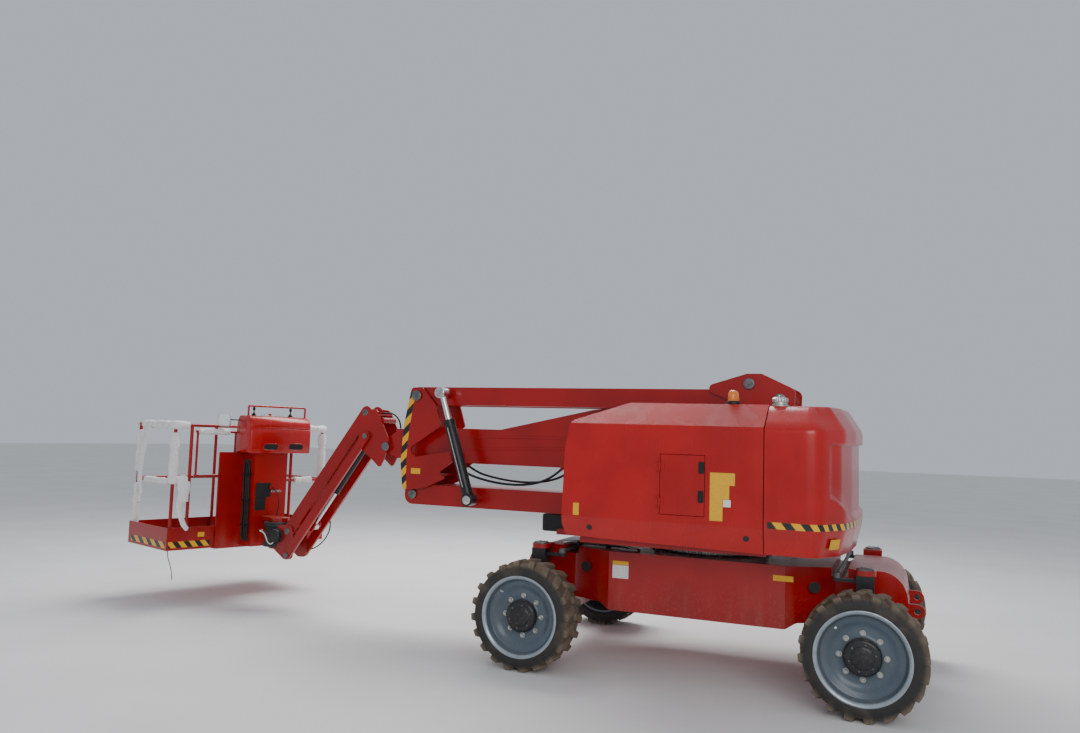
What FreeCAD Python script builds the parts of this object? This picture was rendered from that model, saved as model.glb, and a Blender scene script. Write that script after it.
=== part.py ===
import FreeCAD, Part
import math
import os

os.makedirs("parts", exist_ok=True)
V = FreeCAD.Vector

# Articulating boom lift on four steered wheels, stowed, all sizes in millimetres.
# +X points to the basket end, +Y to the machine's left, +Z up; the ground is Z = 0.
# The model is laid out from the middle of the wheelbase, and moved at the end so
# that the origin lies under the middle of its bounding box.

# Driving sizes of the running gear
WHEELBASE = 2540.0
TYRE_DIAMETER = 850.0
TYRE_WIDTH = 320.0
TYRE_FLATS = 40
OVERALL_WIDTH = 2300.0
RIM_RADIUS = 305.0
LUG_HEIGHT = 22.0
LUG_COUNT = 20
LUG_SLANT = 18.0
LUG_FOOT = 68.0
LUG_TOP = 54.0
TYRE_TURN = 4.0
HUB_RADIUS = 125.0
HUB_DEPTH = 140.0
MOTOR_RADIUS = 105.0
KINGPIN_RADIUS = 35.0
KINGPIN_INSET = 270.0
POST_SIDE = 120.0
POST_BOTTOM = 315.0
POST_TOP = 925.0
TONGUE = 36.0
TONGUE_RADIUS = 75.0
STEER_ARM = 190.0
ARM_THICKNESS = 24.0
TRACK_ROD_Z = 880.0
AXLE_DEPTH = 170.0
AXLE_WIDTH = 190.0

# Driving sizes of the chassis and the slewing turret
CHASSIS_BOTTOM = 460.0
CHASSIS_TOP = 930.0
CHASSIS_INSET = 240.0
BELLY_INSET = 80.0
BELLY_HALF_LENGTH = 700.0
FRONT_END = 1500.0
REAR_END = 1565.0
SLEW_RADIUS = 470.0
SLEW_BORE = 350.0
DECK_BOTTOM = 1030.0
DECK_THICKNESS = 40.0
DECK_FRONT = 1180.0
DECK_FRONT_HALF = 620.0
HOOD_BOTTOM = DECK_BOTTOM + 25.0
HOOD_HALF_WIDTH = 1100.0
HOOD_TOP = 2140.0
HOOD_WALL = 30.0
HOOD_FRONT = 950.0
HOOD_SEAM = 600.0
HOOD_INNER = 335.0
TAPER_TOP = 1238.0
TAPER_IN = 45.0
TAIL_X = 1215.0

# Driving sizes of the arms and the telescopic boom
ARM_HALF_WIDTH = 200.0
ARM_CHEEK = 50.0
ARM_BOTTOM = 1160.0
ARM_DEPTH = 190.0
LOWER_PIVOT_X = -560.0
UPRIGHT_LOW_X = 2857.0
UPRIGHT_TOP_X = 2820.0
UPPER_PIVOT_Z = 2205.0
UPPER_DEPTH = 170.0
FORK_INNER = 125.0
FORK_OUTER = 225.0
HEAD_PIVOT_X = -600.0
PLATE = 20.0
PLATE_GAP = 8.0
BOOM_HINGE_X = -350.0
BOOM_HINGE_Z = 2335.0
BOOM_HALF_WIDTH = 105.0
BOOM_BOTTOM = 1570.0
BOOM_DEPTH = 330.0
BOOM_WALL = 8.0
BOOM_REAR = 350.0
BOOM_FRONT = 2960.0
SECTION_GAP = 12.0
NOSE_X = 3240.0
NOSE_Z = 1700.0
PIN_RADIUS = 30.0
SMALL_PIN = 20.0
PIN_PLAY = 0.05
SIDE_PLAY = 1.0

# Driving sizes of the jib, its links and its cylinder
JIB_ANGLE = -54.2
JIB_LENGTH = 1547.0
JIB_DEPTH = 128.0
JIB_HALF_WIDTH = 105.0
JIB_WALL = 14.0
JIB_TOP = (3500.0, 2035.0)
LINK_OFFSET = (-31.0, -238.0)
LINK_DEPTH = 92.0
LINK_IN = 125.0
LINK_OUT = 155.0
HEAD_IN = 107.0
HEAD_OUT = 123.0
JIB_CYL_LOW = (3520.0, 1746.0)
JIB_LUG_INSET = 197.0
JIB_LUG_DROP = 165.0

# Driving sizes of the basket: u runs out from its rotary drive, v across
BASKET_YAW = -19.0
ROTATOR_REACH = 200.0
ROTATOR_RADIUS = 110.0
DRIVE_DROP = 180.0
DRIVE_DEPTH = 260.0
BASKET_LENGTH = 1860.0
BASKET_DEPTH = 920.0
BASKET_REAR = 529.0
BASKET_SHIFT = 37.0
BASKET_DROP = 40.0
FLOOR_THICKNESS = 45.0
RAIL_RADIUS = 19.0
POST_RADIUS = 17.5
RAIL_BEND = 60.0
RAIL_HEIGHT = 1290.0
MID_HEIGHT = 700.0
TOE_HEIGHT = 230.0
TOE_THICKNESS = 6.0

# Where the jib ends, and what hangs from it, to a whole millimetre
FOOT_X = JIB_TOP[0] + JIB_LENGTH * math.cos(math.radians(JIB_ANGLE))
FOOT_Z = JIB_TOP[1] + JIB_LENGTH * math.sin(math.radians(JIB_ANGLE))
ROTATOR_X = float(round(FOOT_X + ROTATOR_REACH))
DRIVE_LOW = float(round(FOOT_Z - DRIVE_DROP))
DRIVE_HIGH = DRIVE_LOW + DRIVE_DEPTH
BASKET_BOTTOM = DRIVE_LOW - BASKET_DROP

shapes = {}


def box(x0, x1, y0, y1, z0, z1):
    return Part.makeBox(x1 - x0, y1 - y0, z1 - z0, V(x0, y0, z0))


def rod(start, end, radius):
    axis = V(*end) - V(*start)
    return Part.makeCylinder(radius, axis.Length, V(*start), axis)


def cross_pin(x, z, y0, y1, radius):
    return Part.makeCylinder(radius, y1 - y0, V(x, y0, z), V(0, 1, 0))


def prism(points, y0, y1):
    # a closed outline of (x, z) points carried from y0 to y1
    corners = [V(x, y0, z) for x, z in points]
    face = Part.Face(Part.makePolygon(corners + corners[:1]))
    return face.extrude(V(0, y1 - y0, 0))


def rounded_wire(corners):
    # a closed wire through (corner, radius) pairs, each corner rounded by its radius
    edges = []
    ends = []
    count = len(corners)
    for i in range(count):
        here, radius = corners[i]
        before = corners[i - 1][0] - here
        after = corners[(i + 1) % count][0] - here
        before.normalize()
        after.normalize()
        if radius == 0:
            ends.append((here, here, None))
            continue
        half = before.getAngle(after) / 2
        reach = radius / math.tan(half)
        bisector = (before + after).normalize()
        middle = here + bisector * (radius / math.sin(half) - radius)
        ends.append((here + before * reach, here + after * reach, middle))
    for i in range(count):
        first, last, middle = ends[i]
        if middle is not None:
            edges.append(Part.Arc(first, middle, last).toShape())
        following = ends[(i + 1) % count][0]
        if last.distanceToPoint(following) > 1e-6:
            edges.append(Part.LineSegment(last, following).toShape())
    return Part.Wire(edges)


def rounded_prism(points, y0, y1):
    # like prism, but each point is (x, z, radius) and its corner is an arc
    wire = rounded_wire([(V(x, y0, z), radius) for x, z, radius in points])
    return Part.Face(wire).extrude(V(0, y1 - y0, 0))


def faceted_spin(outline, flats):
    # a closed outline of (y, radius) points carried round the Y axis in flat facets
    rings = []
    for y, radius in outline:
        ring = []
        for k in range(flats):
            turn = 2 * math.pi * k / flats
            ring.append(V(radius * math.cos(turn), y, radius * math.sin(turn)))
        rings.append(ring)
    faces = []
    for i in range(len(rings)):
        here = rings[i]
        there = rings[(i + 1) % len(rings)]
        for k in range(flats):
            corners = [here[k], here[(k + 1) % flats], there[(k + 1) % flats], there[k]]
            kept = [c for n, c in enumerate(corners) if c.distanceToPoint(corners[n - 1]) > 1e-6]
            if len(kept) > 2:
                faces.append(Part.Face(Part.makePolygon(kept + kept[:1])))
    solid = Part.makeSolid(Part.makeShell(faces))
    if solid.Volume < 0:
        solid.reverse()
    return solid


def bent_tube(points, radius, bend=None):
    # straight runs and tangent arcs; without a bend each arc is as large as its runs allow
    stops = [V(*p) for p in points]
    edges = []
    start = stops[0]
    radii = []
    for i in range(1, len(stops) - 1):
        before = stops[i - 1] - stops[i]
        after = stops[i + 1] - stops[i]
        reach = 0.45 * min(before.Length, after.Length)
        before.normalize()
        after.normalize()
        half = before.getAngle(after) / 2
        if bend:
            reach = bend / math.tan(half)
        arc = reach * math.tan(half)
        bisector = (before + after).normalize()
        middle = stops[i] + bisector * (arc / math.sin(half) - arc)
        first = stops[i] + before * reach
        last = stops[i] + after * reach
        edges.append(Part.LineSegment(start, first).toShape())
        edges.append(Part.Arc(first, middle, last).toShape())
        start = last
        radii.append(round(arc))
    edges.append(Part.LineSegment(start, stops[-1]).toShape())
    section = Part.Wire(Part.makeCircle(radius, stops[0], stops[1] - stops[0]))
    print("tube radius", radius, "bends", radii)
    return Part.Wire(edges).makePipeShell([section], True, False)


def fuse(*pieces):
    result = pieces[0]
    for piece in pieces[1:]:
        result = result.fuse(piece)
    return result.removeSplitter()


def both_sides(piece):
    return piece.fuse(piece.mirror(V(0, 0, 0), V(0, 1, 0)))


def turned(piece, x, z, degrees):
    # turned about the cross axis through (x, z): positive lifts the +X end
    copy = piece.copy()
    copy.rotate(V(x, 0, z), V(0, -1, 0), degrees)
    return copy


# Wheels: one tyre and one rim in flat facets, placed four times
WHEEL_X = WHEELBASE / 2
AXLE_Z = TYRE_DIAMETER / 2
WHEEL_Y = OVERALL_WIDTH / 2 - TYRE_WIDTH / 2
KINGPIN_Y = WHEEL_Y - KINGPIN_INSET
CHASSIS_HALF_WIDTH = KINGPIN_Y - CHASSIS_INSET
BELLY_HALF_WIDTH = KINGPIN_Y - BELLY_INSET
STUB_GAP = 0.5
BEAD_GAP = 0.3
SEAT_GAP = 0.5
TREAD_GAP = 8.0
LUG_SINK = 30.0
SIDE_ROUND = 28.0


def wheel_tyre():
    half = TYRE_WIDTH / 2
    crown = TYRE_DIAMETER / 2 - LUG_HEIGHT
    bead = RIM_RADIUS + BEAD_GAP
    shoulder = bead + (crown - bead) * 0.62
    outline = [(-half + SIDE_ROUND, bead), (-half, bead + 22), (-half, shoulder), (-half + SIDE_ROUND, crown),
               (half - SIDE_ROUND, crown), (half, shoulder), (half, bead + 22), (half - SIDE_ROUND, bead)]
    carcass = faceted_spin(outline, TYRE_FLATS)
    across = LUG_TOP / 2 * math.cos(math.radians(LUG_SLANT)) + half / 2 * math.sin(math.radians(LUG_SLANT))
    tip = math.sqrt((TYRE_DIAMETER / 2) ** 2 - across ** 2)
    lugs = []
    for i in range(LUG_COUNT):
        for side in (-1, 1):
            turn = 360.0 / LUG_COUNT * (i + 0.25 * side) + TYRE_TURN
            lug = prism([(-LUG_FOOT / 2, crown - LUG_SINK), (LUG_FOOT / 2, crown - LUG_SINK),
                         (LUG_TOP / 2, tip), (-LUG_TOP / 2, tip)], side * TREAD_GAP, side * (half - 12.0))
            lug.rotate(V(0, side * half / 2, 0), V(0, 0, 1), side * LUG_SLANT)
            lug.rotate(V(0, 0, 0), V(0, 1, 0), turn)
            lugs.append(lug)
    return carcass.multiFuse(lugs)


def wheel_rim():
    # flange, well, dished disc and hub drum, with the open side outward
    half = TYRE_WIDTH / 2
    back = half - HUB_DEPTH
    outline = [(-half + 26, RIM_RADIUS - 18), (-half + 26, RIM_RADIUS), (half - 26, RIM_RADIUS),
               (half - 4, RIM_RADIUS + 14), (half - 4, RIM_RADIUS + 2), (half - 60, RIM_RADIUS - 26),
               (half - 90, RIM_RADIUS - 62), (half - 96, HUB_RADIUS + 60), (half - 84, HUB_RADIUS),
               (half - 46, HUB_RADIUS), (half - 38, HUB_RADIUS - 12), (half - 38, 0), (back, 0), (back, HUB_RADIUS),
               (back + 30, HUB_RADIUS + 70), (half - 106, RIM_RADIUS - 50), (half - 80, RIM_RADIUS - 18)]
    return faceted_spin(outline, TYRE_FLATS)


# columns: name, side of X, side of Y
CORNERS = (("front_left", 1, 1), ("front_right", 1, -1), ("rear_left", -1, 1), ("rear_right", -1, -1))
tyre = wheel_tyre()
rim = wheel_rim()


def steering_post(side_x, side_y):
    x = side_x * WHEEL_X
    y = side_y * KINGPIN_Y
    half = POST_SIDE / 2
    post = box(x - half, x + half, y - half, y + half, POST_BOTTOM, POST_TOP)
    low = Part.makeCylinder(KINGPIN_RADIUS, TONGUE + SEAT_GAP, V(x, y, POST_BOTTOM - TONGUE - SEAT_GAP))
    top = Part.makeCylinder(KINGPIN_RADIUS, TONGUE + SEAT_GAP, V(x, y, POST_TOP))
    hub_end = side_y * (WHEEL_Y + TYRE_WIDTH / 2 - HUB_DEPTH - STUB_GAP)
    motor = Part.makeCylinder(MOTOR_RADIUS, abs(hub_end - y), V(x, y, AXLE_Z), V(0, side_y, 0))
    inward = -side_x
    arm = box(min(x, x + inward * STEER_ARM), max(x, x + inward * STEER_ARM), y - 30, y + 30,
              TRACK_ROD_Z - ARM_THICKNESS / 2, TRACK_ROD_Z + ARM_THICKNESS / 2)
    eye = Part.makeCylinder(34.0, ARM_THICKNESS, V(x + inward * STEER_ARM, y, TRACK_ROD_Z - ARM_THICKNESS / 2))
    return fuse(post, low, top, motor, arm, eye)


for name, side_x, side_y in CORNERS:
    centre = V(side_x * WHEEL_X, side_y * WHEEL_Y, AXLE_Z)
    for part_name, piece in (("tyre", tyre), ("rim", rim)):
        copy = piece.copy()
        if side_y < 0:
            copy.rotate(V(0, 0, 0), V(0, 0, 1), 180)
        copy.translate(centre)
        shapes[part_name + "_" + name] = copy
    shapes["steering_post_" + name] = steering_post(side_x, side_y)

ROD_END = 36.0
TRACK_ROD_RADIUS = 15.0

# Axles: a beam with a tall end web and two tongues that hold each post
for name, side_x in (("front", 1), ("rear", -1)):
    x = side_x * WHEEL_X
    half = AXLE_WIDTH / 2
    web_in = KINGPIN_Y - POST_SIDE / 2 - 50.0
    beam = box(x - half, x + half, -web_in - 20, web_in + 20, AXLE_Z - AXLE_DEPTH / 2, AXLE_Z + AXLE_DEPTH / 2)
    pieces = [beam]
    for side_y in (-1, 1):
        y = side_y * KINGPIN_Y
        web = box(x - TONGUE_RADIUS, x + TONGUE_RADIUS, min(side_y * web_in, side_y * (web_in + 20)),
                  max(side_y * web_in, side_y * (web_in + 20)), POST_BOTTOM - TONGUE - SEAT_GAP,
                  POST_TOP + TONGUE + SEAT_GAP)
        pieces.append(web)
        for z in (POST_BOTTOM - TONGUE - SEAT_GAP, POST_TOP + SEAT_GAP):
            inner = side_y * web_in
            tongue = box(x - TONGUE_RADIUS, x + TONGUE_RADIUS, min(inner, y), max(inner, y), z, z + TONGUE)
            nose = Part.makeCylinder(TONGUE_RADIUS, TONGUE, V(x, y, z))
            pieces.append(tongue)
            pieces.append(nose)
    axle = fuse(*pieces)
    for side_y in (-1, 1):
        hole = Part.makeCylinder(KINGPIN_RADIUS + PIN_PLAY, POST_TOP, V(x, side_y * KINGPIN_Y, POST_BOTTOM - 200))
        axle = axle.cut(hole)
    shapes["axle_" + name] = axle
    rod_x = x - side_x * STEER_ARM
    low = TRACK_ROD_Z + ARM_THICKNESS / 2 + SEAT_GAP
    bar = rod((rod_x, -KINGPIN_Y, low + ROD_END / 2), (rod_x, KINGPIN_Y, low + ROD_END / 2), TRACK_ROD_RADIUS)
    ends = [Part.makeCylinder(30.0, ROD_END, V(rod_x, s * KINGPIN_Y, low)) for s in (-1, 1)]
    shapes["track_rod_" + name] = fuse(bar, *ends)

# Chassis: one long box with rounded ends, deeper and wider between the wheels
END_RADIUS = 190.0
SPINE_BOTTOM = AXLE_Z + AXLE_DEPTH / 2
NECK_HALF_LENGTH = 1050.0
SIDE_HOLE_X = 910.0
SIDE_HOLE_Z = 785.0
SIDE_HOLE_RADIUS = 42.0
SIDE_HOLE_DEPTH = 90.0
outline = [(-REAR_END + 60, SPINE_BOTTOM, 30), (-REAR_END, CHASSIS_BOTTOM + 200, 60),
           (-REAR_END + 40, CHASSIS_TOP, END_RADIUS), (FRONT_END - 40, CHASSIS_TOP, END_RADIUS),
           (FRONT_END, CHASSIS_BOTTOM + 200, 60), (FRONT_END - 60, SPINE_BOTTOM, 30),
           (BELLY_HALF_LENGTH + 80, SPINE_BOTTOM, 60), (BELLY_HALF_LENGTH, CHASSIS_BOTTOM, 60),
           (-BELLY_HALF_LENGTH, CHASSIS_BOTTOM, 60), (-BELLY_HALF_LENGTH - 80, SPINE_BOTTOM, 60)]
chassis = rounded_prism(outline, -BELLY_HALF_WIDTH, BELLY_HALF_WIDTH)
plan = []
for sign_x, sign_y in ((1, 1), (1, -1), (-1, -1), (-1, 1)):
    wide = [(BELLY_HALF_LENGTH, BELLY_HALF_WIDTH), (NECK_HALF_LENGTH, CHASSIS_HALF_WIDTH),
            (2000.0, CHASSIS_HALF_WIDTH)]
    if sign_x == sign_y:
        order = wide
    else:
        order = wide[::-1]
    plan += [V(sign_x * x, sign_y * y, CHASSIS_BOTTOM - 10) for x, y in order]
chassis = chassis.common(Part.Face(Part.makePolygon(plan + plan[:1])).extrude(V(0, 0, 800)))
for side_x in (-1, 1):
    slot_x = side_x * (WHEEL_X - STEER_ARM)
    low = TRACK_ROD_Z + ARM_THICKNESS / 2 + SEAT_GAP
    slot = box(slot_x - 60, slot_x + 60, -BELLY_HALF_WIDTH - 5, BELLY_HALF_WIDTH + 5, low - 24, CHASSIS_TOP + 5)
    chassis = chassis.cut(slot)
    for side_y in (-1, 1):
        hole = Part.makeCylinder(SIDE_HOLE_RADIUS, SIDE_HOLE_DEPTH,
                                 V(side_x * SIDE_HOLE_X, side_y * (BELLY_HALF_WIDTH - 10), SIDE_HOLE_Z),
                                 V(0, -side_y, 0))
        chassis = chassis.cut(hole)

# lashing eyes on both ends
EYE_Y = 340.0
EYE_Z = 640.0
EYE_REACH = 62.0
EYE_RADIUS = 24.0
EYE_THICKNESS = 25.0
eyes = []
for end_x, side_x in ((FRONT_END, 1), (-REAR_END, -1)):
    for side_y in (-1, 1):
        y = side_y * EYE_Y
        ear = rounded_prism([(end_x - side_x * 60, EYE_Z - 55, 0), (end_x - side_x * 60, EYE_Z + 55, 0),
                             (end_x + side_x * (EYE_REACH + 40), EYE_Z + 48, 44),
                             (end_x + side_x * (EYE_REACH + 40), EYE_Z - 48, 44)],
                            y - EYE_THICKNESS / 2, y + EYE_THICKNESS / 2)
        eyes.append(ear)
chassis = fuse(chassis, *eyes)
for end_x, side_x in ((FRONT_END, 1), (-REAR_END, -1)):
    chassis = chassis.cut(cross_pin(end_x + side_x * (EYE_REACH - 8), EYE_Z, -500, 500, EYE_RADIUS))
shapes["chassis_frame"] = chassis
RING_GAP = 0.3
ring = Part.makeCylinder(SLEW_RADIUS, DECK_BOTTOM - CHASSIS_TOP - RING_GAP, V(0, 0, CHASSIS_TOP))
ring = ring.cut(Part.makeCylinder(SLEW_BORE, 200, V(0, 0, CHASSIS_TOP - 10)))
shapes["slew_ring"] = ring

# Turret: deck and the two tall plates that carry the lower arm's pivot
DECK_TOP = DECK_BOTTOM + DECK_THICKNESS
CHEEK_Y = ARM_HALF_WIDTH + 90.0
CHEEK_THICKNESS = 25.0
LOWER_PIVOT_Z = ARM_BOTTOM + ARM_DEPTH / 2
SLOT_HALF = CHEEK_Y + CHEEK_THICKNESS + 5.0
SLOT_REAR = HOOD_SEAM + 400.0
SEAM_GAP = 6.0
WING_INSET = 110.0
deck = box(-SLOT_REAR + 0.3, DECK_FRONT, -SLOT_HALF + 5, SLOT_HALF - 5, DECK_BOTTOM, DECK_TOP)
front = box(0, DECK_FRONT, -DECK_FRONT_HALF, DECK_FRONT_HALF, DECK_BOTTOM, DECK_TOP)
wings = box(-HOOD_SEAM - SEAM_GAP + 0.3, HOOD_FRONT - 120, -HOOD_HALF_WIDTH + WING_INSET,
            HOOD_HALF_WIDTH - WING_INSET, DECK_BOTTOM, DECK_TOP)
REST_GAP = 6.0
arm_rest = box(DECK_FRONT - 150, DECK_FRONT - 20, -ARM_HALF_WIDTH + 20, ARM_HALF_WIDTH - 20, DECK_TOP,
               ARM_BOTTOM - REST_GAP)
CHEEK_TOP = 1560.0
cheek = rounded_prism([(-900, DECK_TOP, 0), (500, DECK_TOP, 0), (420, 1250, 60), (-200, CHEEK_TOP, 120),
                       (-880, CHEEK_TOP, 120)], CHEEK_Y, CHEEK_Y + CHEEK_THICKNESS)
spacer = cross_pin(LOWER_PIVOT_X, LOWER_PIVOT_Z, ARM_HALF_WIDTH + SIDE_PLAY, CHEEK_Y, 62)
pin_end = CHEEK_Y + CHEEK_THICKNESS
pivot_pin = cross_pin(LOWER_PIVOT_X, LOWER_PIVOT_Z, -pin_end, pin_end, PIN_RADIUS)
HINGE_Y = HOOD_INNER - 10.0
HINGE_Z = HOOD_TOP - 15.0
HINGE_RADIUS = 16.0
HINGE_PIN = 8.0
HINGE_LENGTH = 80.0
POST_WIDTH = 40.0
HINGE_AT = (-420.0, 300.0)
hinge_posts = []
for x in HINGE_AT:
    hinge_posts.append(box(x, x + POST_WIDTH, CHEEK_Y, HOOD_INNER - 0.5, DECK_TOP, HINGE_Z))
    hinge_posts.append(rod((x, HINGE_Y, HINGE_Z), (x + POST_WIDTH, HINGE_Y, HINGE_Z), HOOD_INNER - HINGE_Y - 0.5))
    hinge_posts.append(rod((x - HINGE_LENGTH, HINGE_Y, HINGE_Z), (x, HINGE_Y, HINGE_Z), HINGE_PIN))
turret = fuse(deck, front, wings, arm_rest, both_sides(cheek), both_sides(spacer), pivot_pin)
shapes["turret_frame"] = fuse(turret, *[both_sides(piece) for piece in hinge_posts])

# Counterweight behind the seam: a cast block with a rounded tail, a slot for the boom,
# a recess round the tail and an underside that tapers in
CW_TOP = HOOD_TOP - 8.0
CW_FRONT = -HOOD_SEAM - SEAM_GAP
RECESS_DEPTH = 30.0
RECESS_FRONT = -1050.0
RECESS_TOP = 1855.0
RECESS_LOW = 1500.0
LEDGE_DROP = 130.0
TAIL_CHAMFER = 60.0


def tail_plan(inset, z):
    side = HOOD_HALF_WIDTH - inset
    rear = -TAIL_X + inset
    corners = [(CW_FRONT, side, 0), (rear + 235, side, 150), (rear + 75, side - 270, 200), (rear + 20, 500, 300),
               (rear, 0, 900), (rear + 20, -500, 300), (rear + 75, -side + 270, 200), (rear + 235, -side, 150),
               (CW_FRONT, -side, 0)]
    return rounded_wire([(V(x, y, z), radius) for x, y, radius in corners])


block = Part.Face(tail_plan(0, TAPER_TOP)).extrude(V(0, 0, CW_TOP - TAPER_TOP))
top_edges = [e for e in block.Edges if e.BoundBox.ZMin > CW_TOP - 1 and e.BoundBox.XMin < CW_FRONT - 50]
block = block.makeChamfer(TAIL_CHAMFER, top_edges)
taper = Part.makeLoft([tail_plan(TAPER_IN, HOOD_BOTTOM), tail_plan(0, TAPER_TOP)], True, True)
block = block.fuse(taper)
beyond = RECESS_FRONT - 350
recess = prism([(RECESS_FRONT, RECESS_LOW), (RECESS_FRONT, RECESS_TOP), (beyond, RECESS_TOP),
                (beyond, RECESS_LOW - LEDGE_DROP)], -HOOD_HALF_WIDTH - 100, HOOD_HALF_WIDTH + 100)
core = Part.Face(tail_plan(RECESS_DEPTH, TAPER_TOP)).extrude(V(0, 0, CW_TOP - TAPER_TOP))
slot = box(-SLOT_REAR, CW_FRONT + 50, -SLOT_HALF, SLOT_HALF, HOOD_BOTTOM - 10, CW_TOP + 50)
shapes["counterweight"] = block.cut(recess.cut(core)).cut(slot)

# Hoods: one thin moulded cover each side, open below and on its inner side
HOOD_BROW_Z = 1985.0
HOOD_BROW_X = 480.0
HOOD_BEVEL = (255.0, 178.0)
hood_face = [(-HOOD_SEAM, HOOD_BOTTOM, 0), (HOOD_FRONT - 30, HOOD_BOTTOM + 30, 30),
             (HOOD_FRONT, HOOD_BOTTOM + 120, 30), (HOOD_FRONT - 15, HOOD_BROW_Z - 225, 40),
             (HOOD_FRONT - 60, HOOD_BROW_Z, 60), (HOOD_BROW_X, HOOD_TOP, 60), (-HOOD_SEAM, HOOD_TOP, 0)]
inner_face = [(-HOOD_SEAM - 60, HOOD_BOTTOM - 60, 0), (HOOD_FRONT - 60, HOOD_BOTTOM - 60, 0),
              (HOOD_FRONT - 30, HOOD_BOTTOM + 120, 0), (HOOD_FRONT - 46, HOOD_BROW_Z - 235, 0),
              (HOOD_FRONT - 92, HOOD_BROW_Z - 20, 30), (HOOD_BROW_X - 12, HOOD_TOP - HOOD_WALL, 30),
              (-HOOD_SEAM - 60, HOOD_TOP - HOOD_WALL, 0)]


def hood_shell():
    outer = rounded_prism(hood_face, HOOD_INNER, HOOD_HALF_WIDTH)
    in_by, down_by = HOOD_BEVEL
    cutter = Part.Face(Part.makePolygon([V(-HOOD_SEAM - 10, HOOD_HALF_WIDTH + 5, HOOD_TOP - down_by),
                                         V(-HOOD_SEAM - 10, HOOD_HALF_WIDTH + 5, HOOD_TOP + 5),
                                         V(-HOOD_SEAM - 10, HOOD_HALF_WIDTH - in_by, HOOD_TOP + 5),
                                         V(-HOOD_SEAM - 10, HOOD_HALF_WIDTH + 5, HOOD_TOP - down_by)]))
    cutter = cutter.extrude(V(HOOD_FRONT + HOOD_SEAM + 30, 0, 0))
    hollow = rounded_prism(inner_face, HOOD_INNER - 60, HOOD_HALF_WIDTH - HOOD_WALL)
    inner_cut = cutter.copy()
    inner_cut.translate(V(0, -HOOD_WALL, -HOOD_WALL))
    start = -HOOD_SEAM - 70
    wedge = Part.Face(Part.makePolygon([V(start, HOOD_HALF_WIDTH, TAPER_TOP),
                                        V(start, HOOD_HALF_WIDTH - TAPER_IN, HOOD_BOTTOM),
                                        V(start, HOOD_HALF_WIDTH - TAPER_IN, HOOD_BOTTOM - 70),
                                        V(start, HOOD_HALF_WIDTH + 40, HOOD_BOTTOM - 70),
                                        V(start, HOOD_HALF_WIDTH + 40, TAPER_TOP),
                                        V(start, HOOD_HALF_WIDTH, TAPER_TOP)]))
    wedge = wedge.extrude(V(HOOD_FRONT + HOOD_SEAM + 100, 0, 0))
    inner_wedge = wedge.copy()
    inner_wedge.translate(V(0, -HOOD_WALL, 0))
    return outer.cut(cutter).cut(wedge).cut(hollow.cut(inner_cut).cut(inner_wedge))


hood = hood_shell()
for x in HINGE_AT:
    hood = hood.fuse(rod((x - HINGE_LENGTH, HINGE_Y, HINGE_Z), (x - 1, HINGE_Y, HINGE_Z), HINGE_RADIUS))
    hood = hood.cut(rod((x - HINGE_LENGTH - 1, HINGE_Y, HINGE_Z), (x, HINGE_Y, HINGE_Z), HINGE_PIN + PIN_PLAY))
DOOR_FRONT = 160.0
DOOR_REAR = -175.0
DOOR_LOW = 1300.0
DOOR_HIGH = 1745.0
DOOR_GAP = 4.0
window = box(DOOR_REAR - DOOR_GAP, DOOR_FRONT + DOOR_GAP, HOOD_HALF_WIDTH - 80, HOOD_HALF_WIDTH + 20,
             DOOR_LOW - DOOR_GAP, DOOR_HIGH + DOOR_GAP)
left_hood = hood.cut(window)
shapes["hood_right"] = hood.mirror(V(0, 0, 0), V(0, 1, 0))
door = box(DOOR_REAR, DOOR_FRONT, HOOD_HALF_WIDTH - 18, HOOD_HALF_WIDTH, DOOR_LOW, DOOR_HIGH)
DOOR_HINGE_X = DOOR_FRONT + 2.0
DOOR_HINGE_Y = HOOD_HALF_WIDTH + 9.0
DOOR_SLEEVE = 8.0
DOOR_PIN = 4.0
for z in (DOOR_LOW + 60.0, DOOR_HIGH - 120.0):
    leaf = box(DOOR_HINGE_X - 35, DOOR_HINGE_X, HOOD_HALF_WIDTH, HOOD_HALF_WIDTH + 4, z, z + 60)
    sleeve = rod((DOOR_HINGE_X, DOOR_HINGE_Y, z), (DOOR_HINGE_X, DOOR_HINGE_Y, z + 60), DOOR_SLEEVE)
    door = fuse(door, leaf, sleeve)
    door = door.cut(rod((DOOR_HINGE_X, DOOR_HINGE_Y, z - 1), (DOOR_HINGE_X, DOOR_HINGE_Y, z + 61),
                        DOOR_PIN + PIN_PLAY))
    pin = rod((DOOR_HINGE_X, DOOR_HINGE_Y, z - 10), (DOOR_HINGE_X, DOOR_HINGE_Y, z + 70), DOOR_PIN)
    lugs = [box(DOOR_HINGE_X - 1, DOOR_HINGE_X + 30, HOOD_HALF_WIDTH - 2, HOOD_HALF_WIDTH + 14, low, low + 9)
            for low in (z - 10, z + 61)]
    lugs = [lug.cut(box(0, DOOR_FRONT + DOOR_GAP, 0, HOOD_HALF_WIDTH, DOOR_LOW, DOOR_HIGH)) for lug in lugs]
    left_hood = fuse(left_hood, pin, *lugs)
shapes["hood_left"] = left_hood
shapes["control_door"] = door
POWER_REAR = -540.0
ENGINE_FRONT = 260.0
ENGINE_SIDES = (-HOOD_HALF_WIDTH + 140.0, -HOOD_HALF_WIDTH + 540.0)
ENGINE_TOP = 1700.0
TANK_FRONT = 620.0
TANK_SIDES = (HOOD_HALF_WIDTH - 680.0, HOOD_HALF_WIDTH - 320.0)
TANK_TOP = 1650.0
shapes["engine_block"] = box(POWER_REAR, ENGINE_FRONT, *ENGINE_SIDES, DECK_TOP, ENGINE_TOP)
shapes["fluid_tanks"] = box(POWER_REAR, TANK_FRONT, *TANK_SIDES, DECK_TOP, TANK_TOP)

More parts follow.
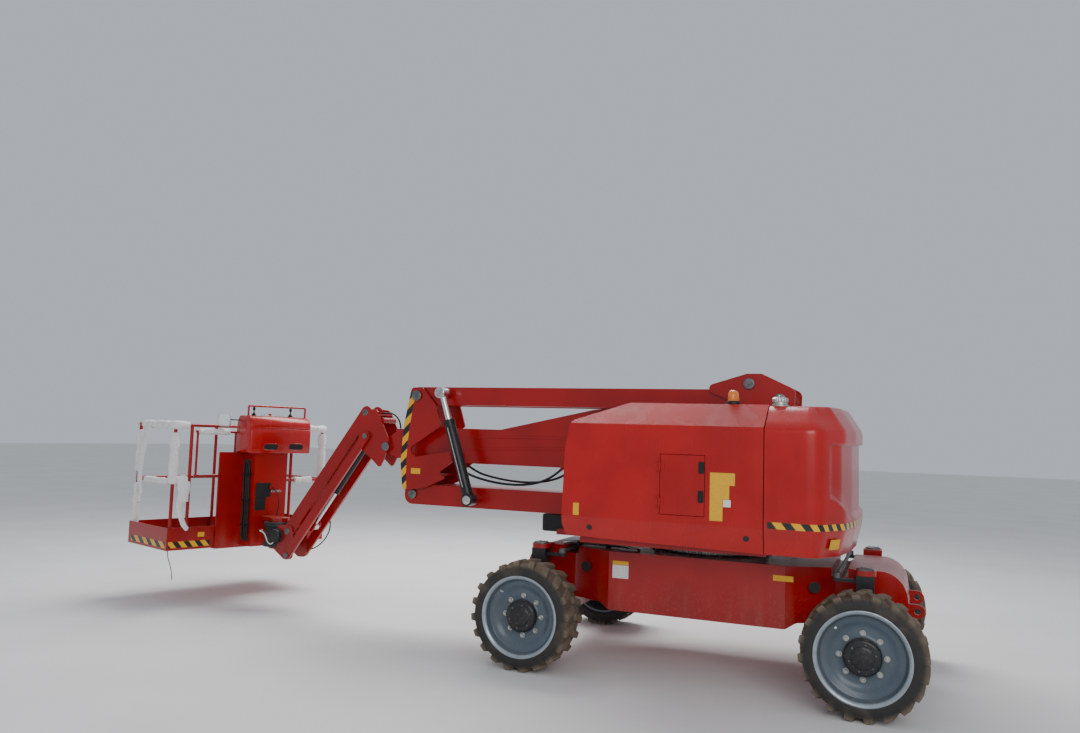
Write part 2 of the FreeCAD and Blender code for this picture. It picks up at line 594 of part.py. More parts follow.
# Beacon on the left hood and a filler dome on the tail, in flat facets
ROUND_FLATS = 24
BEACON_X = -325.0
BEACON_INSET = 300.0
DOME_X = -700.0
DOME_INSET = 320.0


def standing(outline, x, y, z):
    # a faceted spin stood upright; its outline is (height, radius)
    piece = faceted_spin([(height, radius) for height, radius in outline], ROUND_FLATS)
    piece.rotate(V(0, 0, 0), V(1, 0, 0), 90)
    piece.translate(V(x, y, z))
    return piece


shapes["beacon"] = standing([(0, 0), (0, 50), (28, 50), (30, 42), (100, 38), (110, 26), (110, 0)],
                            BEACON_X, HOOD_HALF_WIDTH - BEACON_INSET, HOOD_TOP)
shapes["tail_dome"] = standing([(0, 0), (0, 62), (30, 62), (60, 50), (80, 30), (86, 0)],
                               DOME_X, HOOD_HALF_WIDTH - DOME_INSET, CW_TOP)

# Lower arm: a closed box beam between the cheeks and the upright's plates
UPRIGHT_LOW_Z = LOWER_PIVOT_Z
arm_body = rounded_prism([(LOWER_PIVOT_X - 95, ARM_BOTTOM, 90), (UPRIGHT_LOW_X + 90, ARM_BOTTOM, 85),
                          (UPRIGHT_LOW_X + 90, ARM_BOTTOM + ARM_DEPTH, 85),
                          (LOWER_PIVOT_X - 95, ARM_BOTTOM + ARM_DEPTH, 90)], -ARM_HALF_WIDTH, ARM_HALF_WIDTH)
arm_body = arm_body.cut(cross_pin(LOWER_PIVOT_X, LOWER_PIVOT_Z, -400, 400, PIN_RADIUS + PIN_PLAY))
FORK_DEPTH = 170.0
TONGUE_OUT = ARM_HALF_WIDTH - ARM_CHEEK - SIDE_PLAY
TONGUE_IN = TONGUE_OUT - 45.0
arm_body = arm_body.cut(box(UPRIGHT_LOW_X - FORK_DEPTH, UPRIGHT_LOW_X + FORK_DEPTH, -ARM_HALF_WIDTH + ARM_CHEEK,
                            ARM_HALF_WIDTH - ARM_CHEEK, ARM_BOTTOM - 10, ARM_BOTTOM + ARM_DEPTH + 10))
arm_body = arm_body.cut(cross_pin(UPRIGHT_LOW_X, UPRIGHT_LOW_Z, -400, 400, PIN_RADIUS + PIN_PLAY))
LIFT_LOW = (2165.0, 1246.0)
LIFT_TOP = (2495.0, 2230.0)
LIFT_Y = 345.0
LIFT_RADIUS = 50.0
LIFT_ROD = 30.0
lug_low = cross_pin(LIFT_LOW[0], LIFT_LOW[1], ARM_HALF_WIDTH, LIFT_Y - LIFT_RADIUS - SIDE_PLAY, 55)
pin_low = cross_pin(LIFT_LOW[0], LIFT_LOW[1], LIFT_Y - LIFT_RADIUS - SIDE_PLAY, LIFT_Y + LIFT_RADIUS + 6, PIN_RADIUS)
shapes["lower_arm"] = fuse(arm_body, lug_low, pin_low)

# Upright: two open C-shaped plates, two webs, and tongues down into the lower arm's fork
PLATE_IN = FORK_OUTER + PLATE_GAP
PLATE_OUT = PLATE_IN + PLATE
UPRIGHT_TOP_Z = UPPER_PIVOT_Z
# columns: x, z, corner radius
plate_outline = [(2765, 2285, 25), (2885, 2285, 35), (2958, 1917, 200), (2978, 1560, 200), (2945, 1290, 40),
                 (2700, 1322, 300), (2465, 1432, 15), (2565, 1465, 20), (2412, 1580, 30), (2438, 1678, 25),
                 (2830, 1612, 50), (2890, 1695, 45), (2546, 1918, 25), (2610, 2120, 60)]
plates = [rounded_prism(plate_outline, low, low + PLATE) for low in (PLATE_IN, -PLATE_OUT)]
web_x = UPRIGHT_LOW_X + 63.0
front_web = prism([(web_x, 1366), (web_x + 20, 1366), (web_x + 40, 1545), (web_x + 20, 1545)],
                  -PLATE_IN - 1, PLATE_IN + 1)
WEB_Z = 1428.0
floor_web = box(UPRIGHT_LOW_X - 217, UPRIGHT_LOW_X + 88, -PLATE_IN - 1, PLATE_IN + 1, WEB_Z, WEB_Z + PLATE)
tongue = rounded_prism([(UPRIGHT_LOW_X - 72, UPRIGHT_LOW_Z - 72, 70), (UPRIGHT_LOW_X + 72, UPRIGHT_LOW_Z - 72, 70),
                        (UPRIGHT_LOW_X + 72, WEB_Z + 5, 0), (UPRIGHT_LOW_X - 110, WEB_Z + 5, 0)],
                       TONGUE_IN, TONGUE_OUT)
low_pin = cross_pin(UPRIGHT_LOW_X, UPRIGHT_LOW_Z, -ARM_HALF_WIDTH - 12, ARM_HALF_WIDTH + 12, PIN_RADIUS)
top_pin = cross_pin(UPRIGHT_TOP_X, UPRIGHT_TOP_Z, FORK_INNER, PLATE_OUT + 15, PIN_RADIUS)
shapes["upright"] = fuse(*plates, front_web, floor_web, both_sides(tongue), low_pin, both_sides(top_pin))

# Upper arm: a fork of two box beams joined behind the boom
beam = rounded_prism([(HEAD_PIVOT_X - 85, UPPER_PIVOT_Z - UPPER_DEPTH / 2, 80),
                      (UPRIGHT_TOP_X + 80, UPPER_PIVOT_Z - UPPER_DEPTH / 2, 78),
                      (UPRIGHT_TOP_X + 80, UPPER_PIVOT_Z + UPPER_DEPTH / 2, 78),
                      (HEAD_PIVOT_X - 85, UPPER_PIVOT_Z + UPPER_DEPTH / 2, 80)], FORK_INNER, FORK_OUTER)
for x in (HEAD_PIVOT_X, UPRIGHT_TOP_X):
    beam = beam.cut(cross_pin(x, UPPER_PIVOT_Z, 0, 400, PIN_RADIUS + PIN_PLAY))
boss = cross_pin(LIFT_TOP[0], LIFT_TOP[1], FORK_OUTER, LIFT_Y - LIFT_RADIUS - SIDE_PLAY, 45)
bridge = box(HEAD_PIVOT_X + 60, HEAD_PIVOT_X + 130, -FORK_INNER - 1, FORK_INNER + 1,
             UPPER_PIVOT_Z - 80, UPPER_PIVOT_Z + 40)
shapes["upper_arm"] = fuse(both_sides(beam), bridge, boss)

# Boom head: plates outside the fork that stay level and carry the boom's hinge
LUFF_LOW = (-560.0, 1470.0)
LUFF_TOP = (550.0, 1430.0)
head_plate = rounded_prism([(-720, 2290, 60), (-450, 2420, 40), (-330, 2420, 40), (60, 2300, 40), (-380, 2120, 150),
                            (-490, 1400, 60), (-680, 1400, 60)], PLATE_IN, PLATE_OUT)
head_tube = box(-735, -702, -PLATE_IN - 1, PLATE_IN + 1, 1500, 2100)
head_plate2 = fuse(head_plate, rounded_prism([(-737, 2150, 20), (-600, 2150, 20), (-600, 1420, 20), (-737, 1420, 20)],
                                             PLATE_IN, PLATE_OUT))
head_pins = fuse(both_sides(cross_pin(HEAD_PIVOT_X, UPPER_PIVOT_Z, FORK_INNER, PLATE_OUT + 15, PIN_RADIUS)),
                 cross_pin(BOOM_HINGE_X, BOOM_HINGE_Z, -PLATE_OUT - 12, PLATE_OUT + 12, PIN_RADIUS),
                 cross_pin(LUFF_LOW[0], LUFF_LOW[1], -PLATE_OUT - 12, PLATE_OUT + 12, PIN_RADIUS))
shapes["boom_head"] = fuse(both_sides(head_plate2), head_tube, head_pins)

# Telescopic boom: an outer box section with a gooseneck up to its hinge
BOOM_TOP = BOOM_BOTTOM + BOOM_DEPTH
outer_tube = box(BOOM_REAR, BOOM_FRONT, -BOOM_HALF_WIDTH, BOOM_HALF_WIDTH, BOOM_BOTTOM, BOOM_TOP)
outer_tube = outer_tube.cut(box(BOOM_REAR + 60, BOOM_FRONT + 10, -BOOM_HALF_WIDTH + BOOM_WALL,
                                BOOM_HALF_WIDTH - BOOM_WALL, BOOM_BOTTOM + BOOM_WALL, BOOM_TOP - BOOM_WALL))
neck = rounded_prism([(BOOM_HINGE_X - 75, BOOM_HINGE_Z + 30, 60), (BOOM_HINGE_X + 60, BOOM_HINGE_Z + 70, 60),
                      (0, 2235, 200), (1070, 2100, 0), (1980, BOOM_TOP, 0), (BOOM_REAR, BOOM_TOP, 0),
                       (BOOM_REAR, BOOM_BOTTOM + 30, 0), (BOOM_REAR - 120, BOOM_BOTTOM + 70, 60),
                       (BOOM_HINGE_X - 75, BOOM_HINGE_Z - 45, 60)],
                     -BOOM_HALF_WIDTH, BOOM_HALF_WIDTH)
neck = neck.cut(cross_pin(BOOM_HINGE_X, BOOM_HINGE_Z, -300, 300, PIN_RADIUS + PIN_PLAY))
PAD_PLAY = 0.3
PAD_LENGTH = 110.0
inner_half = BOOM_HALF_WIDTH - BOOM_WALL - SECTION_GAP
inner_low = BOOM_BOTTOM + BOOM_WALL + SECTION_GAP
inner_top = BOOM_TOP - BOOM_WALL - SECTION_GAP
front_pads = [box(BOOM_FRONT - PAD_LENGTH, BOOM_FRONT, inner_half + PAD_PLAY, BOOM_HALF_WIDTH - BOOM_WALL,
                  BOOM_BOTTOM + 60, BOOM_TOP - 60),
              box(BOOM_FRONT - PAD_LENGTH, BOOM_FRONT, -BOOM_HALF_WIDTH + BOOM_WALL, -inner_half - PAD_PLAY,
                  BOOM_BOTTOM + 60, BOOM_TOP - 60),
              box(BOOM_FRONT - PAD_LENGTH, BOOM_FRONT, -50, 50, BOOM_BOTTOM + BOOM_WALL, inner_low - PAD_PLAY),
              box(BOOM_FRONT - PAD_LENGTH, BOOM_FRONT, -50, 50, inner_top + PAD_PLAY, BOOM_TOP - BOOM_WALL)]
luff_lug = rounded_prism([(LUFF_TOP[0] - 110, BOOM_BOTTOM + 2, 0), (LUFF_TOP[0] - 45, LUFF_TOP[1] - 45, 40),
                          (LUFF_TOP[0] + 45, LUFF_TOP[1] - 45, 40), (LUFF_TOP[0] + 110, BOOM_BOTTOM + 2, 0)], 42, 60)

# Two hoses hang under the boom; columns: name, y, shift of x, rise of the belly
HOSE_RADIUS = 11.0
FITTING_RADIUS = 15.0
FITTING_LENGTH = 50.0
END_GAP = 0.3
hose_line = [(2440, 1535, 0), (2350, 1475, 0.3), (2200, 1428, 0.8), (1990, 1393, 1), (1770, 1388, 1),
             (1590, 1418, 0.8), (1450, 1480, 0.3), (1375, 1545, 0)]
boom_hoses = (("boom_hose_near", 78.0, 0.0, 0.0), ("boom_hose_far", -45.0, -60.0, 22.0))
fittings = []
for name, y, move, rise in boom_hoses:
    route = [(x + move, y, z + rise * share) for x, z, share in hose_line]
    shapes[name] = bent_tube(route, HOSE_RADIUS)
    for first, second in ((route[0], route[1]), (route[-1], route[-2])):
        way = (V(*first) - V(*second)).normalize()
        start = V(*first) + way * END_GAP
        end = start + way * FITTING_LENGTH
        fittings.append(Part.makeCylinder(FITTING_RADIUS, FITTING_LENGTH, start, way))
shapes["boom_outer"] = fuse(outer_tube, neck, both_sides(luff_lug), *front_pads, *fittings)

INNER_REAR = BOOM_REAR + 90
inner = box(INNER_REAR, BOOM_FRONT + 190, -inner_half, inner_half, inner_low, inner_top)
inner = inner.cut(box(INNER_REAR - 5, BOOM_FRONT + 150, -inner_half + BOOM_WALL, inner_half - BOOM_WALL,
                      inner_low + BOOM_WALL, inner_top - BOOM_WALL))
ear = rounded_prism([(BOOM_FRONT + 150, inner_low, 0), (NOSE_X + 50, NOSE_Z - 50, 48), (NOSE_X + 50, NOSE_Z + 50, 48),
                     (BOOM_FRONT + 150, inner_top, 0)], inner_half - 18, inner_half)
nose_pin = cross_pin(NOSE_X, NOSE_Z, -HEAD_OUT - 10, HEAD_OUT + 10, PIN_RADIUS)
shapes["boom_inner"] = fuse(inner, both_sides(ear), nose_pin)

# Jib head: two tall plates that stay level at the boom's nose and carry the jib and its links
jib_rear = (JIB_TOP[0] + LINK_OFFSET[0], JIB_TOP[1] + LINK_OFFSET[1])
# columns: x, z, corner radius
head_outline = [(3560, 2085, 50), (3360, 2062, 45), (3205, 1764, 45), (3245, 1595, 40), (3300, 1483, 25),
                (3390, 1560, 40), (3568, 1690, 45)]
head_plate = rounded_prism(head_outline, HEAD_IN, HEAD_OUT)
head_tie = cross_pin(3310, 1955, -HEAD_IN - 1, HEAD_IN + 1, 34)
hose_block = box(3336, 3356, -HEAD_IN - 1, HEAD_IN + 1, 2005, 2045)
nose_boss = cross_pin(NOSE_X, NOSE_Z, inner_half + SIDE_PLAY, HEAD_IN + 1, 50)
cylinder_boss = cross_pin(JIB_CYL_LOW[0], JIB_CYL_LOW[1], 31, HEAD_IN + 1, 30)
link_stub = cross_pin(jib_rear[0], jib_rear[1], HEAD_IN, LINK_OUT + 6, SMALL_PIN)
jib_head = fuse(both_sides(head_plate), head_tie, hose_block, both_sides(nose_boss), both_sides(cylinder_boss),
                both_sides(link_stub), cross_pin(JIB_TOP[0], JIB_TOP[1], -HEAD_OUT, HEAD_OUT, PIN_RADIUS),
                cross_pin(JIB_CYL_LOW[0], JIB_CYL_LOW[1], -HEAD_IN, HEAD_IN, SMALL_PIN))
jib_head = jib_head.cut(cross_pin(NOSE_X, NOSE_Z, -200, 200, PIN_RADIUS + PIN_PLAY))
shapes["jib_head"] = jib_head
NOSE_HOSE_Y = 60.0
NOSE_HOSE_RADIUS = 8.0
nose_route = [(3334, 2030), (3240, 2040), (3165, 2005), (3120, 1940), (3112, inner_top + 2.5)]
shapes["nose_hose"] = bent_tube([(x, NOSE_HOSE_Y, z) for x, z in nose_route], NOSE_HOSE_RADIUS)

# Jib: a box beam with open ends, and a link on each side, built level and then turned down
main_low = JIB_TOP[1] - JIB_DEPTH / 2
main_high = JIB_TOP[1] + JIB_DEPTH / 2
tail = JIB_TOP[0] - JIB_DEPTH / 2
tip = JIB_TOP[0] + JIB_LENGTH + 55
beam = rounded_prism([(tail, main_low, 60), (tip, main_low, 55), (tip, main_high, 55), (tail, main_high, 60)],
                     -JIB_HALF_WIDTH, JIB_HALF_WIDTH)
beam = beam.cut(box(tail - 10, tip + 10, -JIB_HALF_WIDTH + JIB_WALL, JIB_HALF_WIDTH - JIB_WALL,
                    main_low + 10, main_high - 10))
JIB_MOUTH = 95.0
for x0, x1 in ((tail - 10, JIB_TOP[0] + JIB_MOUTH), (JIB_TOP[0] + JIB_LENGTH - JIB_MOUTH, tip + 10)):
    beam = beam.cut(box(x0, x1, -JIB_HALF_WIDTH + JIB_WALL, JIB_HALF_WIDTH - JIB_WALL, main_low - 10, main_high + 10))
lug_x = JIB_TOP[0] + JIB_LENGTH - JIB_LUG_INSET
lug_z = JIB_TOP[1] - JIB_LUG_DROP
LUG_IN = 34.0
LUG_OUT = 50.0
cylinder_lug = rounded_prism([(lug_x - 150, main_low + 5, 0), (lug_x - 42, lug_z - 38, 38), (lug_x + 42, lug_z - 38, 38),
                              (lug_x + 90, main_low + 5, 0)], LUG_IN, LUG_OUT)
jib = fuse(beam, both_sides(cylinder_lug))
for x in (JIB_TOP[0], JIB_TOP[0] + JIB_LENGTH):
    jib = jib.cut(cross_pin(x, JIB_TOP[1], -300, 300, PIN_RADIUS + PIN_PLAY))
shapes["jib_main"] = turned(jib, JIB_TOP[0], JIB_TOP[1], JIB_ANGLE)
half_link = LINK_DEPTH / 2
link = rounded_prism([(jib_rear[0] - half_link, jib_rear[1] - half_link, half_link - 2),
                      (jib_rear[0] + JIB_LENGTH + half_link, jib_rear[1] - half_link, half_link - 2),
                      (jib_rear[0] + JIB_LENGTH + half_link, jib_rear[1] + half_link, half_link - 2),
                      (jib_rear[0] - half_link, jib_rear[1] + half_link, half_link - 2)], LINK_IN, LINK_OUT)
for x in (jib_rear[0], jib_rear[0] + JIB_LENGTH):
    link = link.cut(cross_pin(x, jib_rear[1], 0, 300, SMALL_PIN + PIN_PLAY))
shapes["jib_links"] = turned(both_sides(link), jib_rear[0], jib_rear[1], JIB_ANGLE)
# the loop under the far link, as (distance from the link's low end, distance below its middle)
JIB_HOSE_RADIUS = 6.5
loop = [(-462, 52), (-417, 98), (-317, 122), (-207, 112), (-127, 82), (-85, 52)]
route = []
for along, below in loop:
    point = turned(Part.Vertex(V(jib_rear[0] + JIB_LENGTH + along, -(LINK_IN + LINK_OUT) / 2, jib_rear[1] - below)),
                   jib_rear[0], jib_rear[1], JIB_ANGLE).Point
    route.append((point.x, point.y, point.z))
shapes["jib_hose"] = bent_tube(route, JIB_HOSE_RADIUS)

# Basket support: stays level under the jib's end and carries the rotary drive
foot = (FOOT_X, FOOT_Z)
foot_rear = (FOOT_X + LINK_OFFSET[0], FOOT_Z + LINK_OFFSET[1])
support_plate = rounded_prism([(foot[0] - 65, foot[1] + 60, 50), (ROTATOR_X, foot[1] + 60, 15),
                               (ROTATOR_X, DRIVE_LOW + 12, 15), (foot_rear[0] + 60, foot_rear[1] - 50, 40),
                               (foot_rear[0] - 52, foot_rear[1] - 50, 45)], HEAD_IN, HEAD_OUT)
DRIVE_GAP = 0.3
SEAT_THICKNESS = 14.0
drive_seat = box(ROTATOR_X - ROTATOR_RADIUS + 10, ROTATOR_X + 40, -HEAD_IN - 1, HEAD_IN + 1,
                 DRIVE_LOW - SEAT_THICKNESS, DRIVE_LOW - DRIVE_GAP)
seat_post = box(ROTATOR_X - 30, ROTATOR_X + 10, HEAD_IN, HEAD_OUT, DRIVE_LOW - SEAT_THICKNESS, DRIVE_LOW + 40)
foot_stub = cross_pin(foot_rear[0], foot_rear[1], HEAD_IN, LINK_OUT + 6, SMALL_PIN)
drive = Part.makeCylinder(ROTATOR_RADIUS, DRIVE_HIGH - DRIVE_LOW, V(ROTATOR_X, 0, DRIVE_LOW))
support = fuse(both_sides(support_plate), drive_seat, both_sides(seat_post), both_sides(foot_stub),
               cross_pin(foot[0], foot[1], -HEAD_OUT, HEAD_OUT, PIN_RADIUS))
shapes["basket_support"] = support.cut(Part.makeCylinder(ROTATOR_RADIUS + DRIVE_GAP, DRIVE_HIGH - DRIVE_LOW + 200,
                                                         V(ROTATOR_X, 0, DRIVE_LOW - DRIVE_GAP)))
shapes["rotary_drive"] = drive


# Cylinders: barrel and rod on the line between two pins, as (x, z) in the plane y
def cylinder_pair(low, top, y, barrel_radius, rod_radius, share, eye_half, pin_hole):
    span = V(top[0] - low[0], 0, top[1] - low[1])
    length = span.Length
    angle = math.degrees(math.atan2(span.z, span.x))
    x0, z0 = low
    barrel = rod((x0 + 45, y, z0), (x0 + length * share, y, z0), barrel_radius)
    bore = rod((x0 + 90, y, z0), (x0 + length * share + 5, y, z0), rod_radius + PIN_PLAY)
    eye = cross_pin(x0, z0, y - eye_half, y + eye_half, pin_hole + 26)
    neck = box(x0, x0 + 60, y - eye_half, y + eye_half, z0 - 28, z0 + 28)
    barrel = fuse(barrel, eye, neck).cut(cross_pin(x0, z0, y - 200, y + 200, pin_hole + PIN_PLAY)).cut(bore)
    ram = rod((x0 + 150, y, z0), (x0 + length - 30, y, z0), rod_radius)
    ram_eye = cross_pin(x0 + length, z0, y - eye_half, y + eye_half, pin_hole + 22)
    ram = fuse(ram, ram_eye)
    return turned(barrel, x0, z0, angle), turned(ram, x0, z0, angle)


shapes["lift_barrel"], shapes["lift_rod"] = cylinder_pair(LIFT_LOW, LIFT_TOP, LIFT_Y, LIFT_RADIUS, LIFT_ROD, 0.74,
                                                          LIFT_RADIUS, PIN_RADIUS)
LUFF_RADIUS = 52.0
LUFF_ROD = 30.0
shapes["luff_barrel"], shapes["luff_rod"] = cylinder_pair(LUFF_LOW, LUFF_TOP, 0, LUFF_RADIUS, LUFF_ROD, 0.86, 40,
                                                          PIN_RADIUS)
jib_lug = turned(Part.Vertex(V(lug_x, 0, lug_z)), JIB_TOP[0], JIB_TOP[1], JIB_ANGLE).Point
JIB_CYL_RADIUS = 34.0
JIB_CYL_ROD = 18.0
shapes["jib_barrel"], shapes["jib_rod"] = cylinder_pair(JIB_CYL_LOW, (jib_lug.x, jib_lug.z), 0, JIB_CYL_RADIUS,
                                                        JIB_CYL_ROD, 0.60, 30, SMALL_PIN)

# Basket: laid out square to its rotary drive at u = 0, v = 0, then turned and placed


def placed(piece):
    copy = piece.copy()
    copy.rotate(V(0, 0, 0), V(0, 0, 1), BASKET_YAW)
    copy.translate(V(ROTATOR_X, 0, 0))
    return copy


far = BASKET_REAR + BASKET_DEPTH
v_low = BASKET_SHIFT - BASKET_LENGTH / 2
v_high = BASKET_SHIFT + BASKET_LENGTH / 2
FLOOR_TOP = BASKET_BOTTOM + FLOOR_THICKNESS
TOE_TOP = BASKET_BOTTOM + TOE_HEIGHT
floor = box(BASKET_REAR, far, v_low, v_high, BASKET_BOTTOM, FLOOR_TOP)
toe = box(BASKET_REAR, far, v_low, v_high, FLOOR_TOP - 1, TOE_TOP)
toe = toe.cut(box(BASKET_REAR + TOE_THICKNESS, far - TOE_THICKNESS, v_low + TOE_THICKNESS, v_high - TOE_THICKNESS,
                  FLOOR_TOP - 5, TOE_TOP + 5))
shapes["basket_floor"] = placed(fuse(floor, toe))
rail_top = BASKET_BOTTOM + RAIL_HEIGHT
MID_RAIL = BASKET_BOTTOM + MID_HEIGHT
inset = RAIL_RADIUS + TOE_THICKNESS + 0.2
GATE_LOW = BASKET_SHIFT + 150.0
GATE_HIGH = BASKET_SHIFT + 720.0
u0 = BASKET_REAR + inset
u1 = far - inset
v0 = v_low + inset
v1 = v_high - inset
corner_in = RAIL_BEND * (1 - math.sqrt(0.5))
rails = []
for z in (rail_top, MID_RAIL):
    rails.append(bent_tube([(u0, GATE_LOW, z), (u0, v0, z), (u1, v0, z), (u1, v1, z), (u0, v1, z), (u0, GATE_HIGH, z)],
                           RAIL_RADIUS, RAIL_BEND))
for u, v in ((u0 + corner_in, v0 + corner_in), (u1 - corner_in, v0 + corner_in), (u1, BASKET_SHIFT),
             (u1 - corner_in, v1 - corner_in), (u0 + corner_in, v1 - corner_in), (u0, GATE_LOW), (u0, GATE_HIGH),
             (u0, v0 + 430)):
    rails.append(rod((u, v, FLOOR_TOP), (u, v, rail_top), POST_RADIUS))
shapes["basket_rails"] = placed(fuse(*rails))

# Gate: a frame of thin tube on two sleeves round its post
GATE_TUBE = 13.0
SLEEVE_RADIUS = POST_RADIUS + 9
GATE_TOP_Z = rail_top - 60
GATE_LOW_Z = MID_RAIL + 60
gate_pieces = []
for z in (GATE_TOP_Z, GATE_LOW_Z):
    gate_pieces.append(rod((u0, GATE_LOW + 20, z), (u0, GATE_HIGH - 45, z), GATE_TUBE))
    gate_pieces.append(rod((u0, GATE_LOW, z - 25), (u0, GATE_LOW, z + 25), SLEEVE_RADIUS))
for v in (GATE_LOW + 75, GATE_HIGH - 65):
    gate_pieces.append(rod((u0, v, GATE_LOW_Z), (u0, v, GATE_TOP_Z), GATE_TUBE - 1))
gate = fuse(*gate_pieces).cut(rod((u0, GATE_LOW, MID_RAIL), (u0, GATE_LOW, rail_top), POST_RADIUS + PIN_PLAY))
shapes["basket_gate"] = placed(gate)

# Column: a hollow box and a panel behind the basket, on an arm over the rotary drive
COLUMN_TOP = BASKET_BOTTOM + 1014.0
COLUMN_REAR = 249.0
COLUMN_LOW_V = -193.0
COLUMN_HIGH_V = 187.0
COLUMN_WALL = 8.0
ARM_PLATE = 40.0
PANEL_LOW_V = -363.0
PANEL_HIGH_V = 457.0
SILL = 12.0
panel = box(BASKET_REAR - 24, BASKET_REAR - 4, PANEL_LOW_V, PANEL_HIGH_V, BASKET_BOTTOM - SILL, COLUMN_TOP)
column = box(COLUMN_REAR, BASKET_REAR - 23, COLUMN_LOW_V, COLUMN_HIGH_V, BASKET_BOTTOM + 20, COLUMN_TOP)
column = column.cut(box(COLUMN_REAR + COLUMN_WALL, BASKET_REAR - 30, COLUMN_LOW_V + COLUMN_WALL,
                        COLUMN_HIGH_V - COLUMN_WALL, BASKET_BOTTOM + 30, COLUMN_TOP - COLUMN_WALL))
seat_plate = Part.makeCylinder(ROTATOR_RADIUS - 10, ARM_PLATE, V(0, 0, DRIVE_HIGH + SEAT_GAP))
arm_plate = box(0, COLUMN_REAR + 5, -80, 80, DRIVE_HIGH + SEAT_GAP, DRIVE_HIGH + SEAT_GAP + ARM_PLATE)
sill = box(BASKET_REAR - 24, BASKET_REAR + 60, PANEL_LOW_V, PANEL_HIGH_V, BASKET_BOTTOM - SILL, BASKET_BOTTOM - 0.5)
hose_anchor = box(COLUMN_REAR - 25, COLUMN_REAR + 1, -45, 5, BASKET_BOTTOM + 620, BASKET_BOTTOM + 662)
shapes["basket_column"] = placed(fuse(panel, column, seat_plate, arm_plate, sill, hose_anchor))
hose_foot = DRIVE_HIGH + SEAT_GAP + ARM_PLATE + 3.5
column_route = [(COLUMN_REAR - 27, -20, hose_foot + 296), (165, -25, hose_foot + 281), (125, -40, hose_foot + 206),
                (125, -55, hose_foot + 106), (160, -60, hose_foot + 46), (175, -60, hose_foot)]
COLUMN_HOSE_RADIUS = 6.0
shapes["column_hose"] = placed(bent_tube(column_route, COLUMN_HOSE_RADIUS))

# Console on the column, with its guard tube, and a lamp on the rail beside it
CONSOLE_REAR = 189.0
CONSOLE_LOW_V = -453.0
CONSOLE_HIGH_V = 287.0
CONSOLE_TOP = COLUMN_TOP + 406.0
GUARD_TOP = CONSOLE_TOP + 100.0
GUARD_RADIUS = 11.0
GUARD_BEND = 45.0
CONSOLE_GAP = 0.3
base = COLUMN_TOP + CONSOLE_GAP
console = rounded_prism([(CONSOLE_REAR, base, 15), (CONSOLE_REAR, CONSOLE_TOP - 118, 30),
                         (CONSOLE_REAR + 70, CONSOLE_TOP - 12, 40), (BASKET_REAR - 70, CONSOLE_TOP, 30),
                         (BASKET_REAR - 22, CONSOLE_TOP - 100, 30), (BASKET_REAR - 22, base, 10)],
                        CONSOLE_LOW_V, CONSOLE_HIGH_V)
guard_u = CONSOLE_REAR + 120.0
guard = bent_tube([(guard_u, CONSOLE_HIGH_V - 25, CONSOLE_TOP - 40), (guard_u, CONSOLE_HIGH_V - 25, GUARD_TOP),
                   (guard_u, CONSOLE_LOW_V + 20, GUARD_TOP), (guard_u, CONSOLE_LOW_V + 20, CONSOLE_TOP - 40)],
                  GUARD_RADIUS, GUARD_BEND)
shapes["control_console"] = placed(fuse(console, guard))
rail_crown = rail_top + RAIL_RADIUS
lamp_v = GATE_LOW - 75.0
LAMP_LOW = rail_crown + 40.0
LAMP_HIGH = rail_crown + 190.0
LAMP_HALF = 55.0
lamp = rounded_prism([(u0 - 45, LAMP_LOW, 12), (u0 + 35, LAMP_LOW, 12), (u0 + 25, LAMP_HIGH, 25),
                      (u0 - 35, LAMP_HIGH, 25)], lamp_v - LAMP_HALF, lamp_v + LAMP_HALF)
lamp_foot = box(u0 - 10, u0 + 10, lamp_v - 10, lamp_v + 10, rail_crown + END_GAP, rail_crown + 45)
shapes["work_lamp"] = placed(fuse(lamp, lamp_foot))
CORD_RADIUS = 4.0
cord_v = v_high - 25.0
cord_u = BASKET_REAR + 20.0
# columns: move along u, along v, and down from the floor
cord_line = [(0, 0, 1), (-2, -5, 60), (-12, -22, 120), (-14, -40, 180), (-6, -56, 240), (0, -64, 298)]
cord_route = [(cord_u + du, cord_v + dv, BASKET_BOTTOM - down) for du, dv, down in cord_line]
shapes["basket_cord"] = placed(bent_tube(cord_route, CORD_RADIUS))

# The origin goes under the middle of the bounding box
whole = FreeCAD.BoundBox()
for shape in shapes.values():
    whole.add(shape.BoundBox)
shift = V(-(whole.XMin + whole.XMax) / 2, -(whole.YMin + whole.YMax) / 2, -whole.ZMin)
print("shift", shift.x, shift.y, shift.z)
print("size", whole.XLength, whole.YLength, whole.ZLength)
for name, shape in shapes.items():
    moved = shape.copy()
    moved.translate(shift)
    print(name, "solids", len(moved.Solids), "valid", moved.isValid(), "litres", round(moved.Volume / 1e6, 1))
    moved.exportStep("parts/" + name + ".step")
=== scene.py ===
# %% [markdown]
# The machine comes in as a fixed frame: every CAD node sits at the origin with its place in its
# mesh, so nothing here is fitted or moved.

# %% Load the frame
import math

import bmesh
import bpy
import numpy as np
from mathutils import Matrix, Vector


